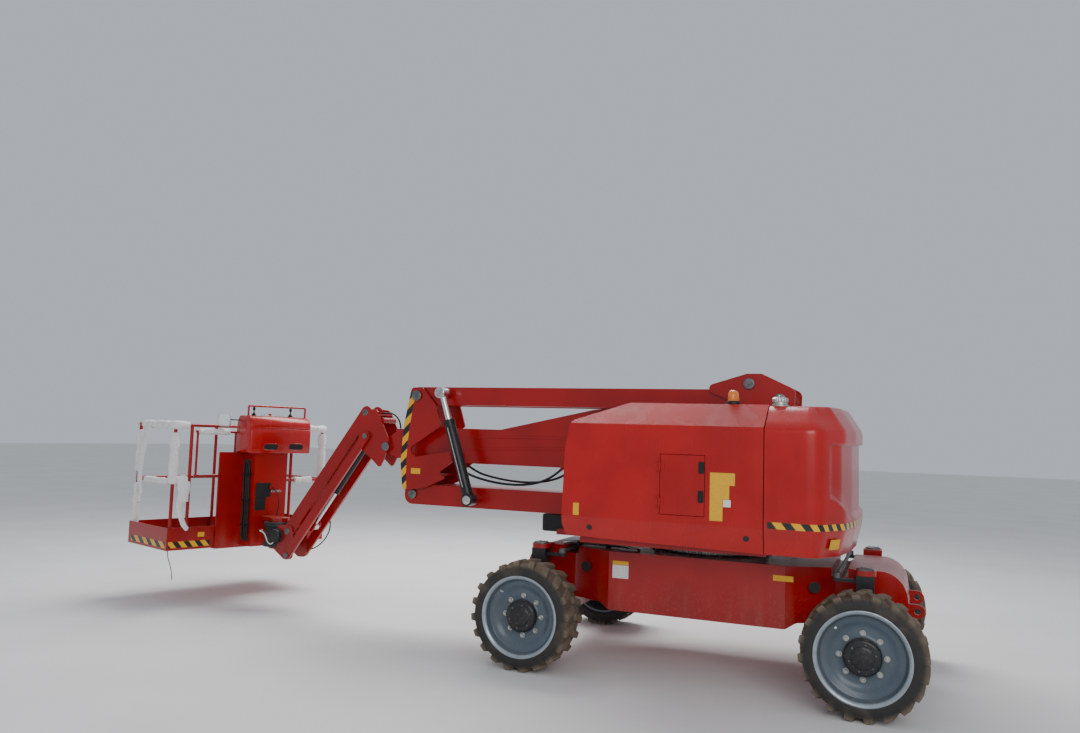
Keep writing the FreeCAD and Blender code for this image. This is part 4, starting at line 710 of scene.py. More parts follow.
VALVE = ((-0.004, 0.011), (0.004, 0.011), (0.006, 0.0055), (0.030, 0.005), (0.032, 0.0065),
         (0.042, 0.0065), (0.042, 0.0))
VALVE_AT, VALVE_LEAN = (0.178, 0.090, 0.178), (-0.15, 1, 0.2)
DISC_Y, HUB_FACE = 0.0635, 0.1275
rim_edge = plain("rim_edge", (0.36, 0.41, 0.45), 0.30, 0.5, shade=0.2, scale=18.0)
nuts = ring_of_bolts((0, DISC_Y, 0), LEFT, 8, 0.155, 0.033, 0.020)
studs = [spun(STUD, nut[-1].mean(axis=0), LEFT, 10) for nut in nuts]
seats = [spun(SEAT, nut[0].mean(axis=0), LEFT, 20) for nut in nuts]
WHEEL_PIECES = (
    ("rim_skin_", [spun(RIM, (0, 0, 0), LEFT, 96)], rim_blue, "rim_paint"),
    ("rim_edge_", [spun(FLANGE, (0, 0, 0), LEFT, 96)], rim_edge, "rim_paint"),
    ("nuts_", nuts + studs + seats, steel, "rod_chrome"),
    ("hub_cover_", [spun(HUB, (0, 0, 0), LEFT, 64)], black, "black_paint"),
    ("hub_bolts_", ring_of_bolts((0, HUB_FACE, 0), LEFT, 6, 0.090, 0.014, 0.007, 0.3), dull_steel,
     "black_paint"),
    ("valve_", [capped(spun(VALVE, VALVE_AT, VALVE_LEAN, 12))], steel, "rod_chrome"),
)
for name, side_x, side_y in CORNERS:
    for start, grids, finish, slot in WHEEL_PIECES:
        replaced = ("rim_" + name,) if start == "rim_skin_" else ()
        skin(start + name, [at_wheel(grid, side_x, side_y) for grid in grids], finish,
             "wheel_" + name, slot, replaces=replaced)
print("wheel pieces", len(CORNERS) * len(WHEEL_PIECES))

# %% [markdown]
# Kingpins turn in the axle's tongues and are capped with a domed plate and four bolts. The slewing
# ring is cut with teeth all round; the radius of that band is a smoothed wave of the way round.

# %% Kingpin caps, slewing teeth and ring bolts
KINGPIN_Y, TONGUE_TOP, TONGUE_LOW = 0.720, 0.9615, 0.2785
CAP = ((0.0, 0.0), (0.0, 0.062), (0.008, 0.062), (0.012, 0.056), (0.016, 0.030), (0.018, 0.0))
RING_TOP, RING_BOLT_R = 0.9302, 0.500
caps = []
for name, side_x, side_y in CORNERS:
    for z, way in ((TONGUE_TOP, UP), (TONGUE_LOW, -UP)):
        centre = np.array((side_x * WHEEL_X, side_y * KINGPIN_Y, z))
        caps.append(spun(CAP, centre, way, 40))
        caps += ring_of_bolts(centre + way * 0.0085, way, 4, 0.047, 0.014, 0.009, 0.6)
skin("kingpin_caps", caps, dull_steel, "chassis", "black_paint")


def toothed_band(teeth=110, radius=0.4705, depth=0.010, low=0.944, high=0.990):
    """Radius = root + depth * a squared-off sine of the way round, drawn in at both faces."""
    turn = np.arange(teeth * 6) * 2 * math.pi / (teeth * 6)
    wave = np.clip(0.5 + 0.9 * np.sin(teeth * turn), 0, 1)
    rows = ((low, -0.004, 0.0), (low, 0.0, 0.6), (low + 0.004, 0.0, 1.0), (high - 0.004, 0.0, 1.0),
            (high, 0.0, 0.6), (high, -0.004, 0.0))
    z, draw, share = np.array(rows).T
    r = radius + draw[:, None] + depth * wave * share[:, None]
    height = np.broadcast_to(z[:, None], r.shape)
    band = np.stack((r * np.cos(turn), r * np.sin(turn), height), axis=-1)
    return np.concatenate((band, band[:1]))


skin("slewing_teeth", [toothed_band()], steel, "chassis", "black_paint")
ring_heads = ring_of_bolts((0, 0, RING_TOP), UP, 36, RING_BOLT_R, 0.020, 0.011)
skin("ring_bolts", ring_heads, dull_steel, "chassis", "black_paint")
print("cap pieces", len(caps))

# %% [markdown]
# Steel pipes run from the ring to the front axle on top of the chassis, and two clips hold them
# down. Each side has a small white and yellow label and a tie-down mark, all blank, and a black
# disc of painted shade sits at the back of each round hole near its ends, so the holes show black.

# %% Chassis pipes, labels and holes
SIDES = ((1, "left"), (-1, "right"))
BELLY_FACE = 0.6402
HOLE_SHADE = ((0.0, 0.0), (0.0, 0.0412), (0.004, 0.0412), (0.004, 0.0))


def chassis_pipe(i):
    """The pipes lie 22 mm apart, and each stands 10 mm over the one before."""
    over, out = 0.946 + 0.010 * i, 0.022 * i
    line = ((0.48, 0.500 + 0.030 * i, 0.940), (0.56, 0.485 + 0.030 * i, over), (0.68, 0.420 + out, over),
            (1.08, 0.400 + out, over), (1.18, 0.400 + out, 0.940))
    return tube(softened(line), 0.0095, UP)


skin("chassis_pipes", [chassis_pipe(i) for i in range(3)], steel, "chassis", "rod_chrome")
clips = [slab((x, 0.420, 0.9295), LEFT, -AHEAD, 0.092, 0.024, 0.040) for x in (0.78, 1.04)]
skin("pipe_clips", clips, black_plastic, "chassis", "black_paint")
for side, tag in SIDES:
    y, across = side * BELLY_FACE, -side * AHEAD
    white = label((0.600, y, 0.772), across, 0.135, 0.105)
    yellow = label((0.600, y, 0.842), across, 0.135, 0.030)
    tie = label((-0.685, y, 0.836), across, 0.150, 0.042)
    skin("side_label_" + tag, [white], label_white, "chassis", "red_paint")
    skin("tie_down_label_" + tag, [tie, yellow], label_yellow, "chassis", "red_paint")
# Black discs 40 mm in from the side face: painted shade at the back of each hole.
hole_shades = [spun(HOLE_SHADE, (x, side * 0.600, 0.785), side * LEFT) for x in (0.910, -0.910)
         for side, tag in SIDES]
skin("side_hole_shades", hole_shades, black_plastic, "chassis", "black_paint")
print("hole_shades", len(hole_shades))

# %% [markdown]
# The hoods are moulded covers. What breaks their smooth faces is small: the control door's two
# black latches, a round lock near each lower corner and blank labels. All of them are plates or
# turned parts laid on the face, because cutting into the CAD mesh would change it.

# %% Hood latches, locks and labels
HOOD_Y = 1.100
LABEL_Y = HOOD_Y + 0.0002
LOCK = ((0.0, 0.0), (0.0, 0.021), (0.003, 0.0215), (0.006, 0.019), (0.0065, 0.012), (0.009, 0.011),
        (0.009, 0.0))
LOCK_IN, LOCK_Z, LOCK_LEAN = 0.0195, 1.160, -0.24
YELLOW_PATCHES = ((-0.308, 1.580, 0.182, 0.090), (-0.288, 1.4835, 0.142, 0.1025),
                  (-0.2645, 1.3535, 0.095, 0.157), (0.829, 1.296, 0.048, 0.094))


def latch(x, z):
    """A black turn latch: a rounded base plate and a shorter, thicker grip on it."""
    base = slab((x, HOOD_Y, z), -AHEAD, UP, 0.042, 0.088, 0.006, 0.010)
    grip = slab((x, HOOD_Y + 0.0055, z), -AHEAD, UP, 0.024, 0.066, 0.011, 0.009, 0.003)
    return [base, grip]


latches = latch(-0.152, 1.656) + latch(-0.149, 1.443)
skin("door_latches", latches, black_plastic, "control_door", "black_paint")
for side, tag in SIDES:
    locks = [spun(LOCK, (x, side * (HOOD_Y - LOCK_IN), LOCK_Z), (0, side, LOCK_LEAN)) for x in (0.72, -0.48)]
    skin("hood_locks_" + tag, locks, black, "hood_" + tag, "black_paint")
patches = [label((x, LABEL_Y, z), -AHEAD, wide, high, corner=0.002) for x, z, wide, high in YELLOW_PATCHES]
skin("hood_labels", patches, label_yellow, "hood_left", "red_plastic")
white_patch = label((-0.343, LABEL_Y, 1.405), -AHEAD, 0.055, 0.052, 0.0014, 0.004)
skin("hood_white_label", [white_patch], label_white, "hood_left", "red_plastic")
print("patches", len(patches) + 1)

# %% [markdown]
# On the engine's side a row of slats lets the air out. Each is a shallow curved blade over a black
# panel of painted shade, which stands for the shaded inside behind real openings: cheaper than
# real openings, and from outside it looks the same.

# %% Breathing slats of the engine side
def slat(x0, x1, z):
    """A blade: depth out of the hood = 2 mm + 13 mm * sin of the way down it, closed at the back."""
    s = np.linspace(0, 1, 9)
    front = np.stack((0.002 + 0.013 * np.sin(s * math.pi * 0.62), z - 0.034 * s), axis=1)
    outline = np.vstack((front, ((0.0005, z - 0.034), (0.0005, z))))
    ends = np.array((x0, x0, x1, x1))[:, None]
    draw = np.array((0.0, 1.0, 1.0, 0.0))[:, None]
    middle = outline.mean(axis=0)
    y = -HOOD_Y - (middle[0] + (outline[:, 0] - middle[0]) * draw)
    z = middle[1] + (outline[:, 1] - middle[1]) * draw
    return np.stack((np.broadcast_to(ends, y.shape), y, z), axis=-1)


slats = [slat(-0.42, 0.38, 1.80 - 0.048 * i) for i in range(10)]
skin("engine_slats", slats, moulded, "hood_right", "red_plastic", sharp=50.0)
# A flat black sheet of painted shade behind the slats, where openings would show a shaded inside.
slat_shade_panel = slab((-0.02, -HOOD_Y, 1.565), AHEAD, UP, 0.86, 0.52, 0.0016, 0.02, 0.0004)
skin("slat_shade_panel", [slat_shade_panel], black_plastic, "hood_right", "black_paint")
print("slats", len(slats))

# %% [markdown]
# The beacon is an amber dome with ribs on a black foot: its radius swells a little at every rib.
# The filler on the tail has a knurled cap with a carrying loop, done the same way with finer ribs.

# %% Beacon and filler
BEACON_AT, FILLER_AT = (-0.325, 0.800, 2.140), (-0.672, 0.780, 2.132)
BEACON = ((0.024, 0.0), (0.024, 0.041), (0.030, 0.0425), (0.060, 0.0405), (0.090, 0.037),
          (0.102, 0.030), (0.108, 0.018), (0.1098, 0.0))
BEACON_FOOT = ((0.0, 0.0), (0.0, 0.050), (0.004, 0.0505), (0.018, 0.0505), (0.026, 0.046), (0.026, 0.0))
FILLER = ((0.030, 0.0), (0.030, 0.0585), (0.036, 0.060), (0.056, 0.058), (0.064, 0.050),
          (0.070, 0.020), (0.072, 0.0))
NECK = ((0.0, 0.0), (0.0, 0.062), (0.010, 0.062), (0.014, 0.052), (0.030, 0.050), (0.030, 0.0))


def ribbed(profile, centre, ribs, swell, steps=96):
    """A spun shape whose radius is 1 + swell * a rounded wave, ribs times round."""
    middle = np.asarray(centre) * (1, 1, 0)
    grid = spun(profile, centre, UP, steps) - middle
    turn = np.arange(steps) * 2 * math.pi / steps
    wave = 1.0 + swell * np.clip(np.cos(ribs * turn), 0, 1)
    return np.concatenate((grid[..., :2] * wave[None, :, None], grid[..., 2:]), axis=-1) + middle


skin("beacon_lens", [ribbed(BEACON, BEACON_AT, 16, 0.035)], amber, "hood_left", "amber_plastic",
     replaces=("beacon",))
foot = spun(BEACON_FOOT, BEACON_AT, UP, 48)
skin("beacon_foot", [foot], black_plastic, "hood_left", "black_paint")
loop_line = [(FILLER_AT[0], y, z) for y, z in ((0.735, 2.190), (0.735, 2.208), (0.780, 2.213),
                                               (0.825, 2.208), (0.825, 2.190))]
filler = [ribbed(FILLER, FILLER_AT, 24, 0.03, 144), spun(NECK, FILLER_AT, UP, 48),
          tube(softened(loop_line), 0.005, AHEAD, 10)]
skin("filler_cap", filler, steel, "turret", "black_paint", replaces=("tail_dome",))
print("filler grids", len(filler))

# %% [markdown]
# A blank label sits low on the tail's slanted underside and leans with it.

# %% Tail label
tail_normal = unit((-0.860, 0.510, -0.24))
tail_across = unit(np.cross(UP, tail_normal))
tail_up = np.cross(tail_normal, tail_across)
tail_label = slab((-1.075, 0.925, 1.1475), tail_across, tail_up, 0.110, 0.075, 0.0015, 0.003, 0.0002)
skin("tail_label", [tail_label], label_yellow, "turret", "cast_block")
print("tail label", tail_label.reshape(-1, 3).mean(axis=0).round(3))

# %% [markdown]
# The tail is the biggest moulded form, so it gets a surface of its own over the CAD block. A
# cross-section runs up the outside, over the broad bevel that the hoods share and down the slot;
# it is carried round the tail's plan. Where the recess is, the outside steps in by 30 mm, and the
# step's lower edge falls away to the rear.

# %% Tail shell
TAIL_SIDE, TAIL_SEAM = 1.100, 0.606
TAIL_LOW, TAIL_TAPER, TAIL_TOP, TAIL_IN = 1.055, 1.238, 2.132, 0.045
BEVEL_DROP, BEVEL_SIDE, BEVEL_REAR = 0.175, 0.253, 0.110
RECESS_DEPTH, RECESS_FRONT, RECESS_TOP, RECESS_LOW, RECESS_FALL = 0.030, 1.050, 1.855, 1.500, 0.165
SLOT_HALF, SLOT_REAR = 0.320, 1.000
ROUNDING = ((0.980, 1.100, 0.150), (1.140, 0.830, 0.200), (1.195, 0.500, 0.300), (1.2155, 0.0, 0.900))


def rounded_path(corners, steps=14):
    """Arcs of each corner's radius, joined by straights, for (x, y, radius) corners in order."""
    line = [np.array(corners[0][:2])]
    for before, here, after in zip(corners[:-2], corners[1:-1], corners[2:]):
        here, radius = np.array(here[:2]), here[2]
        back, on = unit(np.array(before[:2]) - here), unit(np.array(after[:2]) - here)
        half = math.acos(np.clip(back @ on, -1, 1)) / 2
        centre = here + unit(back + on) * radius / math.sin(half)
        first = here + back * radius / math.tan(half) - centre
        last = here + on * radius / math.tan(half) - centre
        share = np.linspace(0, 1, steps)[:, None]
        line.extend(centre + unit(first * (1 - share) + last * share) * radius)
    line.append(np.array(corners[-1][:2]))
    return np.array(line)


def recess_starts(path, walked):
    """How far round the path the recess begins."""
    half = len(path) // 2
    return np.interp(RECESS_FRONT, path[:half, 0], walked[:half])


def tail_plan():
    """The outer line of the plan from the left seam round the rear to the right seam."""
    left = [(TAIL_SEAM, TAIL_SIDE, 0)] + list(ROUNDING)
    right = [(x, -y, radius) for x, y, radius in left[-2::-1]]
    path = rounded_path(left + right)
    walked = walked_along(path)
    ends = recess_starts(path, walked) + np.array((-0.004, 0.012))
    even = np.linspace(0, walked[-1], 150)
    steps = np.unique(np.concatenate((even, ends, walked[-1] - ends)).round(6))
    return at_steps(path, steps)


def unfolded(rows):
    """An inset line doubles back at a corner rounder than the inset. On each half, x may only grow
    towards the rear and the size of y only shrink, so the line turns a plain corner there."""
    half = len(rows) // 2
    for part, way in ((rows[:half], 1), (rows[:half - 1:-1], -1)):
        part[..., 0] = np.maximum.accumulate(part[..., 0], axis=0)
        part[..., 1] = way * np.minimum.accumulate(way * part[..., 1], axis=0)
    return rows


def tail_rows(low_edge, top_in):
    """(height, drawn in, share of the recess) of the outside, from below to the top."""
    lower, upper = low_edge + 0.014, RECESS_TOP - 0.018 - low_edge
    bevel_z = TAIL_TOP - BEVEL_DROP
    quarters = (0.25, 0.5, 0.75, 1.0)
    return (
        [(TAIL_LOW, TAIL_IN, 0), (TAIL_TAPER - 0.01, 0.003, 0), (TAIL_TAPER + 0.01, 0, 0)]
        + [(TAIL_TAPER + 0.02 + (low_edge - 0.055 - TAIL_TAPER) * share, 0, 0) for share in quarters]
        + [(low_edge - 0.034, 0, 0.0), (low_edge - 0.027, 0, 0.08), (low_edge + 0.006, 0, 0.92)]
        + [(lower, 0, 1)] + [(lower + upper * share, 0, 1) for share in quarters]
        + [(RECESS_TOP, 0, 0.92), (RECESS_TOP + 0.004, 0, 0.15), (RECESS_TOP + 0.012, 0, 0)]
        + [(bevel_z - 0.03, 0, 0), (bevel_z - 0.006, 0.001, 0), (bevel_z + 0.006, 0.030 * top_in, 0)]
        + [(bevel_z + BEVEL_DROP * share, top_in * share ** 1.05, 0) for share in (0.35, 0.7, 0.96)]
        + [(TAIL_TOP, top_in * 1.06, 0)])


def slot_line(count):
    """The slot's outline, shared out over the same steps as the plan."""
    way = (np.arange(count) + 0.5) / (count / 2)
    share = np.clip(np.minimum(way, 2 - way), 0, 1)
    x = np.interp(share, (0, 0.40, 1.0), (TAIL_SEAM, SLOT_REAR, SLOT_REAR))
    y = np.interp(share, (0, 0.40, 1.0), (SLOT_HALF, SLOT_HALF, 0.0)) * np.where(way < 1, 1, -1)
    return np.stack((x, y), axis=1)


def tail_surface():
    """Rows run round the plan, columns round the cross-section."""
    plan = tail_plan()
    count = len(plan)
    x = plan[:, 0]
    ahead = unit(np.gradient(plan, axis=0))
    normal = np.stack((ahead[:, 1], -ahead[:, 0]), axis=1)
    normal *= np.sign((normal * plan).sum(axis=1))[:, None]
    deep = smooth_step((x - RECESS_FRONT + 0.004) / 0.016)[:, None]
    walked = walked_along(plan)
    past = np.minimum(walked, walked[-1] - walked) - recess_starts(plan, walked)
    low_edge = RECESS_LOW - RECESS_FALL * smooth_step(past / 0.36)
    top_in = BEVEL_SIDE + (BEVEL_REAR - BEVEL_SIDE) * smooth_step((x - 0.93) / 0.26)
    rows = tail_rows(low_edge, top_in)
    z, inset = (np.stack([row[i] * np.ones(count) for row in rows], axis=1) for i in (0, 1))
    inset = inset + deep * RECESS_DEPTH * np.array([row[2] for row in rows])
    outer = unfolded(plan[:, None] - normal[:, None] * inset[..., None])
    inner = np.broadcast_to(slot_line(count)[:, None], (count, 2, 2))
    inner_z = np.broadcast_to(np.array((TAIL_TOP, TAIL_LOW)), (count, 2))
    places = np.concatenate((outer, inner), axis=1) * (-1, 1)
    heights = np.concatenate((z, inner_z), axis=1)
    return np.concatenate((places, heights[..., None]), axis=-1)


tail = tail_surface()
skin("tail_shell", [capped(tail)], tail_paint, "turret", "cast_block", sharp=28.0,
     replaces=("counterweight",))
print("tail rows", tail.shape)

# %% [markdown]
# Every pin ends in a turned cap held by one bolt. They all come from one short table: the body,
# the place of the pin, how far out its end lies and the cap's radius.

# %% Pin caps
PINS = (("upright", 2.857, 1.255, 0.212, 0.044), ("upright", 2.820, 2.205, 0.268, 0.050),
        ("boom_head", -0.600, 2.205, 0.268, 0.050), ("boom_head", -0.350, 2.335, 0.265, 0.046),
        ("boom_head", -0.560, 1.470, 0.265, 0.044), ("boom_slide", 3.240, 1.700, 0.133, 0.044),
        ("jib_head", 3.500, 2.035, 0.123, 0.033), ("jib_head", 3.469, 1.797, 0.161, 0.027),
        ("jib_head", 3.520, 1.746, 0.123, 0.026), ("basket_support", 4.4049, 0.7803, 0.123, 0.033),
        ("basket_support", 4.3739, 0.5423, 0.161, 0.027))
CAP_THICK = 0.007


def pin_cap(x, z, reach, radius, side):
    """A low drum with a softened rim, and the head of its bolt."""
    profile = ((0, 0), (0, radius), (0.004, radius), (0.0062, radius * 0.94),
               (CAP_THICK, radius * 0.80), (CAP_THICK, 0))
    cap = spun(profile, (x, side * reach, z), side * LEFT, 40)
    head = bolt((x, side * (reach + CAP_THICK), z), side * LEFT, min(0.022, radius * 0.8), 0.0045)
    return [cap, head]


for owner in dict.fromkeys(row[0] for row in PINS):
    caps = [grid for body, *pin in PINS if body == owner for side, tag in SIDES
            for grid in pin_cap(*pin, side)]
    skin("pin_caps_" + owner, caps, dull_steel, owner, "black_paint")
print("pin caps", 2 * len(PINS))

# %% [markdown]
# The boom's outer section has two flat bars along each side and a collar round its mouth. The bars
# sit 6 mm proud. The collar is a flat bar bent round the box, so its corners are rounded.

# %% Boom bars and collar
BOOM_SIDE, BOOM_LOW, BOOM_HIGH = 0.105, 1.570, 1.900
COLLAR_X, COLLAR_THICK = 2.928, 0.008
BAR_ENDS = (((2.306, 1.821), (1.328, 1.841)), ((2.301, 1.707), (1.325, 1.741)))


def boom_bar(start, end, side):
    """A flat bar on the boom's side, between two places (x, z)."""
    run = np.array((start[0] - end[0], 0, start[1] - end[1])) * -side
    middle = ((start[0] + end[0]) / 2, side * BOOM_SIDE, (start[1] + end[1]) / 2)
    return slab(middle, run, UP, np.linalg.norm(run), 0.022, 0.006, 0.008, 0.002)


def bar_round(x, width, half, low, high, thick, corner=0.014, steps=48):
    """Rounded rectangles round a box, in rows from its inner edge over the bar's outside and back."""
    rows = ((-0.5, 0.0), (-0.5, 0.8), (-0.46, 1.0), (0.46, 1.0), (0.5, 0.8), (0.5, 0.0), (-0.5, 0.0))
    rings = []
    for along, out in rows:
        grown = 2 * out * thick
        ring = rounded(2 * half + grown, high - low + grown, corner, steps) + (0, (low + high) / 2)
        rings.append(np.insert(ring, 0, x + along * width, axis=1))
    return np.array(rings)


bars = [boom_bar(*ends, side) for side, tag in SIDES for ends in BAR_ENDS]
skin("boom_bars", bars, red, "boom", "red_paint")
collar = bar_round(COLLAR_X, 0.052, BOOM_SIDE, BOOM_LOW, BOOM_HIGH, COLLAR_THICK)
collar_bolts = [bolt((COLLAR_X, side * (BOOM_SIDE + COLLAR_THICK), z), side * LEFT, 0.016, 0.003)
                for side, tag in SIDES for z in (1.62, 1.735, 1.85)]
skin("boom_collar", [collar], red, "boom", "red_paint")
skin("collar_bolts", collar_bolts, dull_steel, "boom", "black_paint")
print("boom bars", len(bars))

# %% [markdown]
# Each cylinder has a gland ring where the rod comes out, all laid along the line between its two
# pins. The two big ones also have a port block at each end of the barrel and a pipe between them.

# %% Cylinder glands, ports and pipes
CYLINDERS = (("lift", (2.165, 0.345, 1.246), (2.495, 0.345, 2.230), 0.050, 0.030, 0.74),
             ("luff", (-0.560, 0.0, 1.470), (0.550, 0.0, 1.430), 0.052, 0.030, 0.86),
             ("jib", (3.520, 0.0, 1.746), (4.1559, 0.0, 0.8436), 0.034, 0.018, 0.60))
EYE_CAP = ((0, 0), (0, 0.046), (0.003, 0.046), (0.005, 0.043), (0.005, 0))
FOOT_CAP = ((0, 0), (0, 0.040), (0.004, 0.040), (0.006, 0.036), (0.006, 0))


def gland(start, axis, top, radius, ram):
    """The rings at the barrel's mouth and foot, as closed sections spun round the axis."""
    mouth = ((top - 0.026, ram + 0.003), (top - 0.026, radius + 0.004), (top - 0.002, radius + 0.004),
             (top + 0.002, radius + 0.001), (top + 0.002, ram + 0.003), (top - 0.026, ram + 0.003))
    foot = ((0.075, radius - 0.001), (0.075, radius + 0.003), (0.098, radius + 0.003),
            (0.098, radius - 0.001))
    return [spun(section, start, axis, 48) for section in (mouth, foot)]


for name, low, high, radius, ram, share in CYLINDERS:
    start, run = np.array(low), np.array(high) - np.array(low)
    axis, top = run / np.linalg.norm(run), np.linalg.norm(run) * share
    skin(name + "_gland", gland(start, axis, top, radius, ram), black, name + "_barrel", "black_paint")
    if name == "jib":
        continue
    ends = [start + axis * d for d in (0.125, top - 0.075)]
    across = np.cross(LEFT, axis)
    blocks = [slab(end + LEFT * (radius - 0.004), axis, across, 0.036, 0.030, 0.016, 0.005) for end in ends]
    foot, lift = LEFT * radius, LEFT * (radius + 0.015)
    route = softened((ends[0] + foot, ends[0] + lift, ends[0] + lift + axis * 0.05,
                      ends[1] + lift - axis * 0.05, ends[1] + lift, ends[1] + foot), 3)
    skin(name + "_ports", blocks, black, name + "_barrel", "black_paint")
    skin(name + "_pipe", [tube(route, 0.005, across, 10)], steel, name + "_barrel", "rod_chrome")
eye = [spun(EYE_CAP, (2.495, 0.395, 2.230), LEFT, 36), bolt((2.495, 0.400, 2.230), LEFT, 0.030, 0.008)]
skin("lift_eye_cap", eye, steel, "lift_rod", "rod_chrome")
foot = [spun(FOOT_CAP, (2.165, 0.401, 1.246), LEFT, 36), bolt((2.165, 0.407, 1.246), LEFT, 0.026, 0.006)]
skin("lift_foot_cap", foot, steel, "lower_arm", "black_paint")
print("cylinders", len(CYLINDERS))

# %% [markdown]
# A blank label sits on the upright's plate. Three pipes run down the jib's beam, and four clamps
# hold them. Both are laid along the jib's axis, which falls away at 54.2 degrees.

# %% Upright label and jib pipes
JIB_FALL, JIB_PIN = math.radians(54.2), np.array((3.500, 0, 2.035))
upright_label = label((2.8045, 0.2532, 1.4795), -AHEAD, 0.103, 0.053)
skin("upright_label", [upright_label], label_yellow, "upright", "red_paint")
jib_axis = unit((math.cos(JIB_FALL), 0, -math.sin(JIB_FALL)))
jib_out = np.cross(jib_axis, LEFT)


def on_jib(along, out, side=0.0):
    """A place so far along the jib from its pin, out over its face and to the left."""
    return JIB_PIN + jib_axis * along + jib_out * out + LEFT * side


jib_pipes = [tube(np.array([on_jib(d, 0.072, side) for d in np.linspace(0.20, 1.36, 12)]), 0.0075, LEFT)
             for side in (-0.035, 0.0, 0.035)]
jib_clamps = [slab(on_jib(d, 0.0635), LEFT, np.cross(jib_out, LEFT), 0.115, 0.028, 0.018, 0.004)
              for d in (0.26, 0.62, 0.98, 1.30)]
skin("jib_pipes", jib_pipes, hose_black, "jib", "hose_rubber")
skin("jib_clamps", jib_clamps, dull_steel, "jib", "black_paint")
print("jib pipes", len(jib_pipes))

# %% [markdown]
# The basket is drawn square: u runs out from its rotary drive and v across. Every grid is worked
# out in those directions and turned once, by in_basket, at the end. The deck's tread pattern is
# real relief; the slots, the hatch and the fittings face back toward the machine. The slots are
# thin black plates of painted shade, not openings, and a flat black plate of painted shade sits
# below the hatch, where a hole in the column looks dark.

# %% Basket deck and column fittings
U_NEAR, U_FAR, V_LOW, V_HIGH, RAIL_Z, MID_Z = 0.5542, 1.4238, -0.8678, 0.9418, 1.850, 1.260
POST_IN, DECK_Z, LENS_HIGH, LENS_PITCH = 0.0176, 0.6056, 0.0016, 0.036
CONSOLE_U, COLUMN_U = 0.189, 0.249
SLOTS = ((0.042, 1.642), (-0.266, 1.645))
FITTING = ((0, 0), (0, 0.014), (0.014, 0.014), (0.016, 0.010), (0.045, 0.010), (0.045, 0))


def basket_skin(name, grids, *look, **more):
    """A skin of grids drawn in the basket's own directions."""
    return skin(name, [in_basket(grid) for grid in grids], *look, **more)


def deck_plate(columns=300, rows=150):
    """Height = 1.6 mm on small lens shapes, which lean one way and then the other in turn."""
    u = np.linspace(0.5362, 1.4418, rows)[:, None]
    v = np.linspace(-0.8858, 0.9598, columns)[None]
    a, b = u / LENS_PITCH, v / LENS_PITCH
    lean = np.where((np.floor(a) + np.floor(b)) % 2 == 0, 1.0, -1.0)
    x, y = a % 1 - 0.5, b % 1 - 0.5
    p, q = (x + lean * y) * 0.7071, (x - lean * y) * 0.7071
    height = LENS_HIGH * smooth_step((1.0 - (p / 0.42) ** 2 - (q / 0.13) ** 2) * 1.6)
    plate = np.stack((u + 0 * v, v + 0 * u, DECK_Z + height), axis=-1)
    return np.concatenate((plate[:1] - UP * LENS_HIGH, plate, plate[-1:] - UP * LENS_HIGH))


def rearward(v, z, width, height, u, depth, corner, edge=0.001):
    """A slab on a face that looks back toward the machine."""
    return slab((u, v, z), -LEFT, UP, width, height, depth, corner, edge)


def ring_outline(v, z, width, height, u, radius, steps=49):
    """A round bar along the outline of a slot."""
    turn = np.linspace(0, 2 * math.pi, steps)
    corner = height / 2
    way = np.stack((np.cos(turn), np.sin(turn)), axis=1)
    reach = np.clip(way[:, 0] * 4, -1, 1) * (width / 2 - corner)
    line = np.stack((np.full(steps, u), v + reach + way[:, 0] * corner, z + way[:, 1] * corner), axis=1)
    return tube(line, radius, AHEAD, 10)


basket_skin("basket_deck", [deck_plate()], deck_grey, "basket", "red_paint", closed=False, sharp=60.0)
# Thin black plates of painted shade, where the slots look dark; they are not cut through.
slot_shades = [rearward(v, z, 0.175, 0.066, CONSOLE_U, 0.0012, 0.033, 0.0003) for v, z in SLOTS]
basket_skin("console_slot_shades", slot_shades, black_plastic, "basket", "black_paint")
slot_rims = [ring_outline(v, z, 0.178, 0.069, CONSOLE_U, 0.0035) for v, z in SLOTS]
basket_skin("console_slot_rims", slot_rims, moulded, "basket", "red_plastic")
# The first plate is the hatch; the second, flat one is painted shade, where a hole in the column looks dark.
cover_and_hole_shade = [rearward(0.073, 1.1765, 0.176, 0.153, COLUMN_U, 0.008, 0.012),
         rearward(0.100, 1.032, 0.128, 0.144, COLUMN_U, 0.002, 0.010)]
basket_skin("column_cover_and_hole_shade", cover_and_hole_shade, black_plastic, "basket", "black_paint")
fittings = [spun(FITTING, (COLUMN_U, v, 1.163), -AHEAD, 6) for v in (-0.030, -0.072, -0.114)]
basket_skin("column_fittings", fittings, steel, "basket", "rod_chrome")
conduits = [tube(softened(((u, 0.188, 0.63), (u, 0.200, 0.70), (u, 0.200, 1.10), (u + 0.015, 0.200, 1.40),
                           (u + 0.015, 0.188, 1.50))), 0.0095, AHEAD) for u in (0.320, 0.352, 0.384, 0.430)]
straps = [slab((0.375, 0.188, z), -AHEAD, UP, 0.165, 0.020, 0.026, 0.005) for z in (0.80, 1.06, 1.34)]
basket_skin("column_conduits", conduits, hose_black, "basket", "hose_rubber")
basket_skin("conduit_straps", straps, black_plastic, "basket", "black_paint")
print("column conduits", len(conduits))

# %% [markdown]
# On top of the console stand two sticks in ribbed boots, a red stop button on a yellow ring and a
# row of short switches. The boots' radius falls upward in small waves.

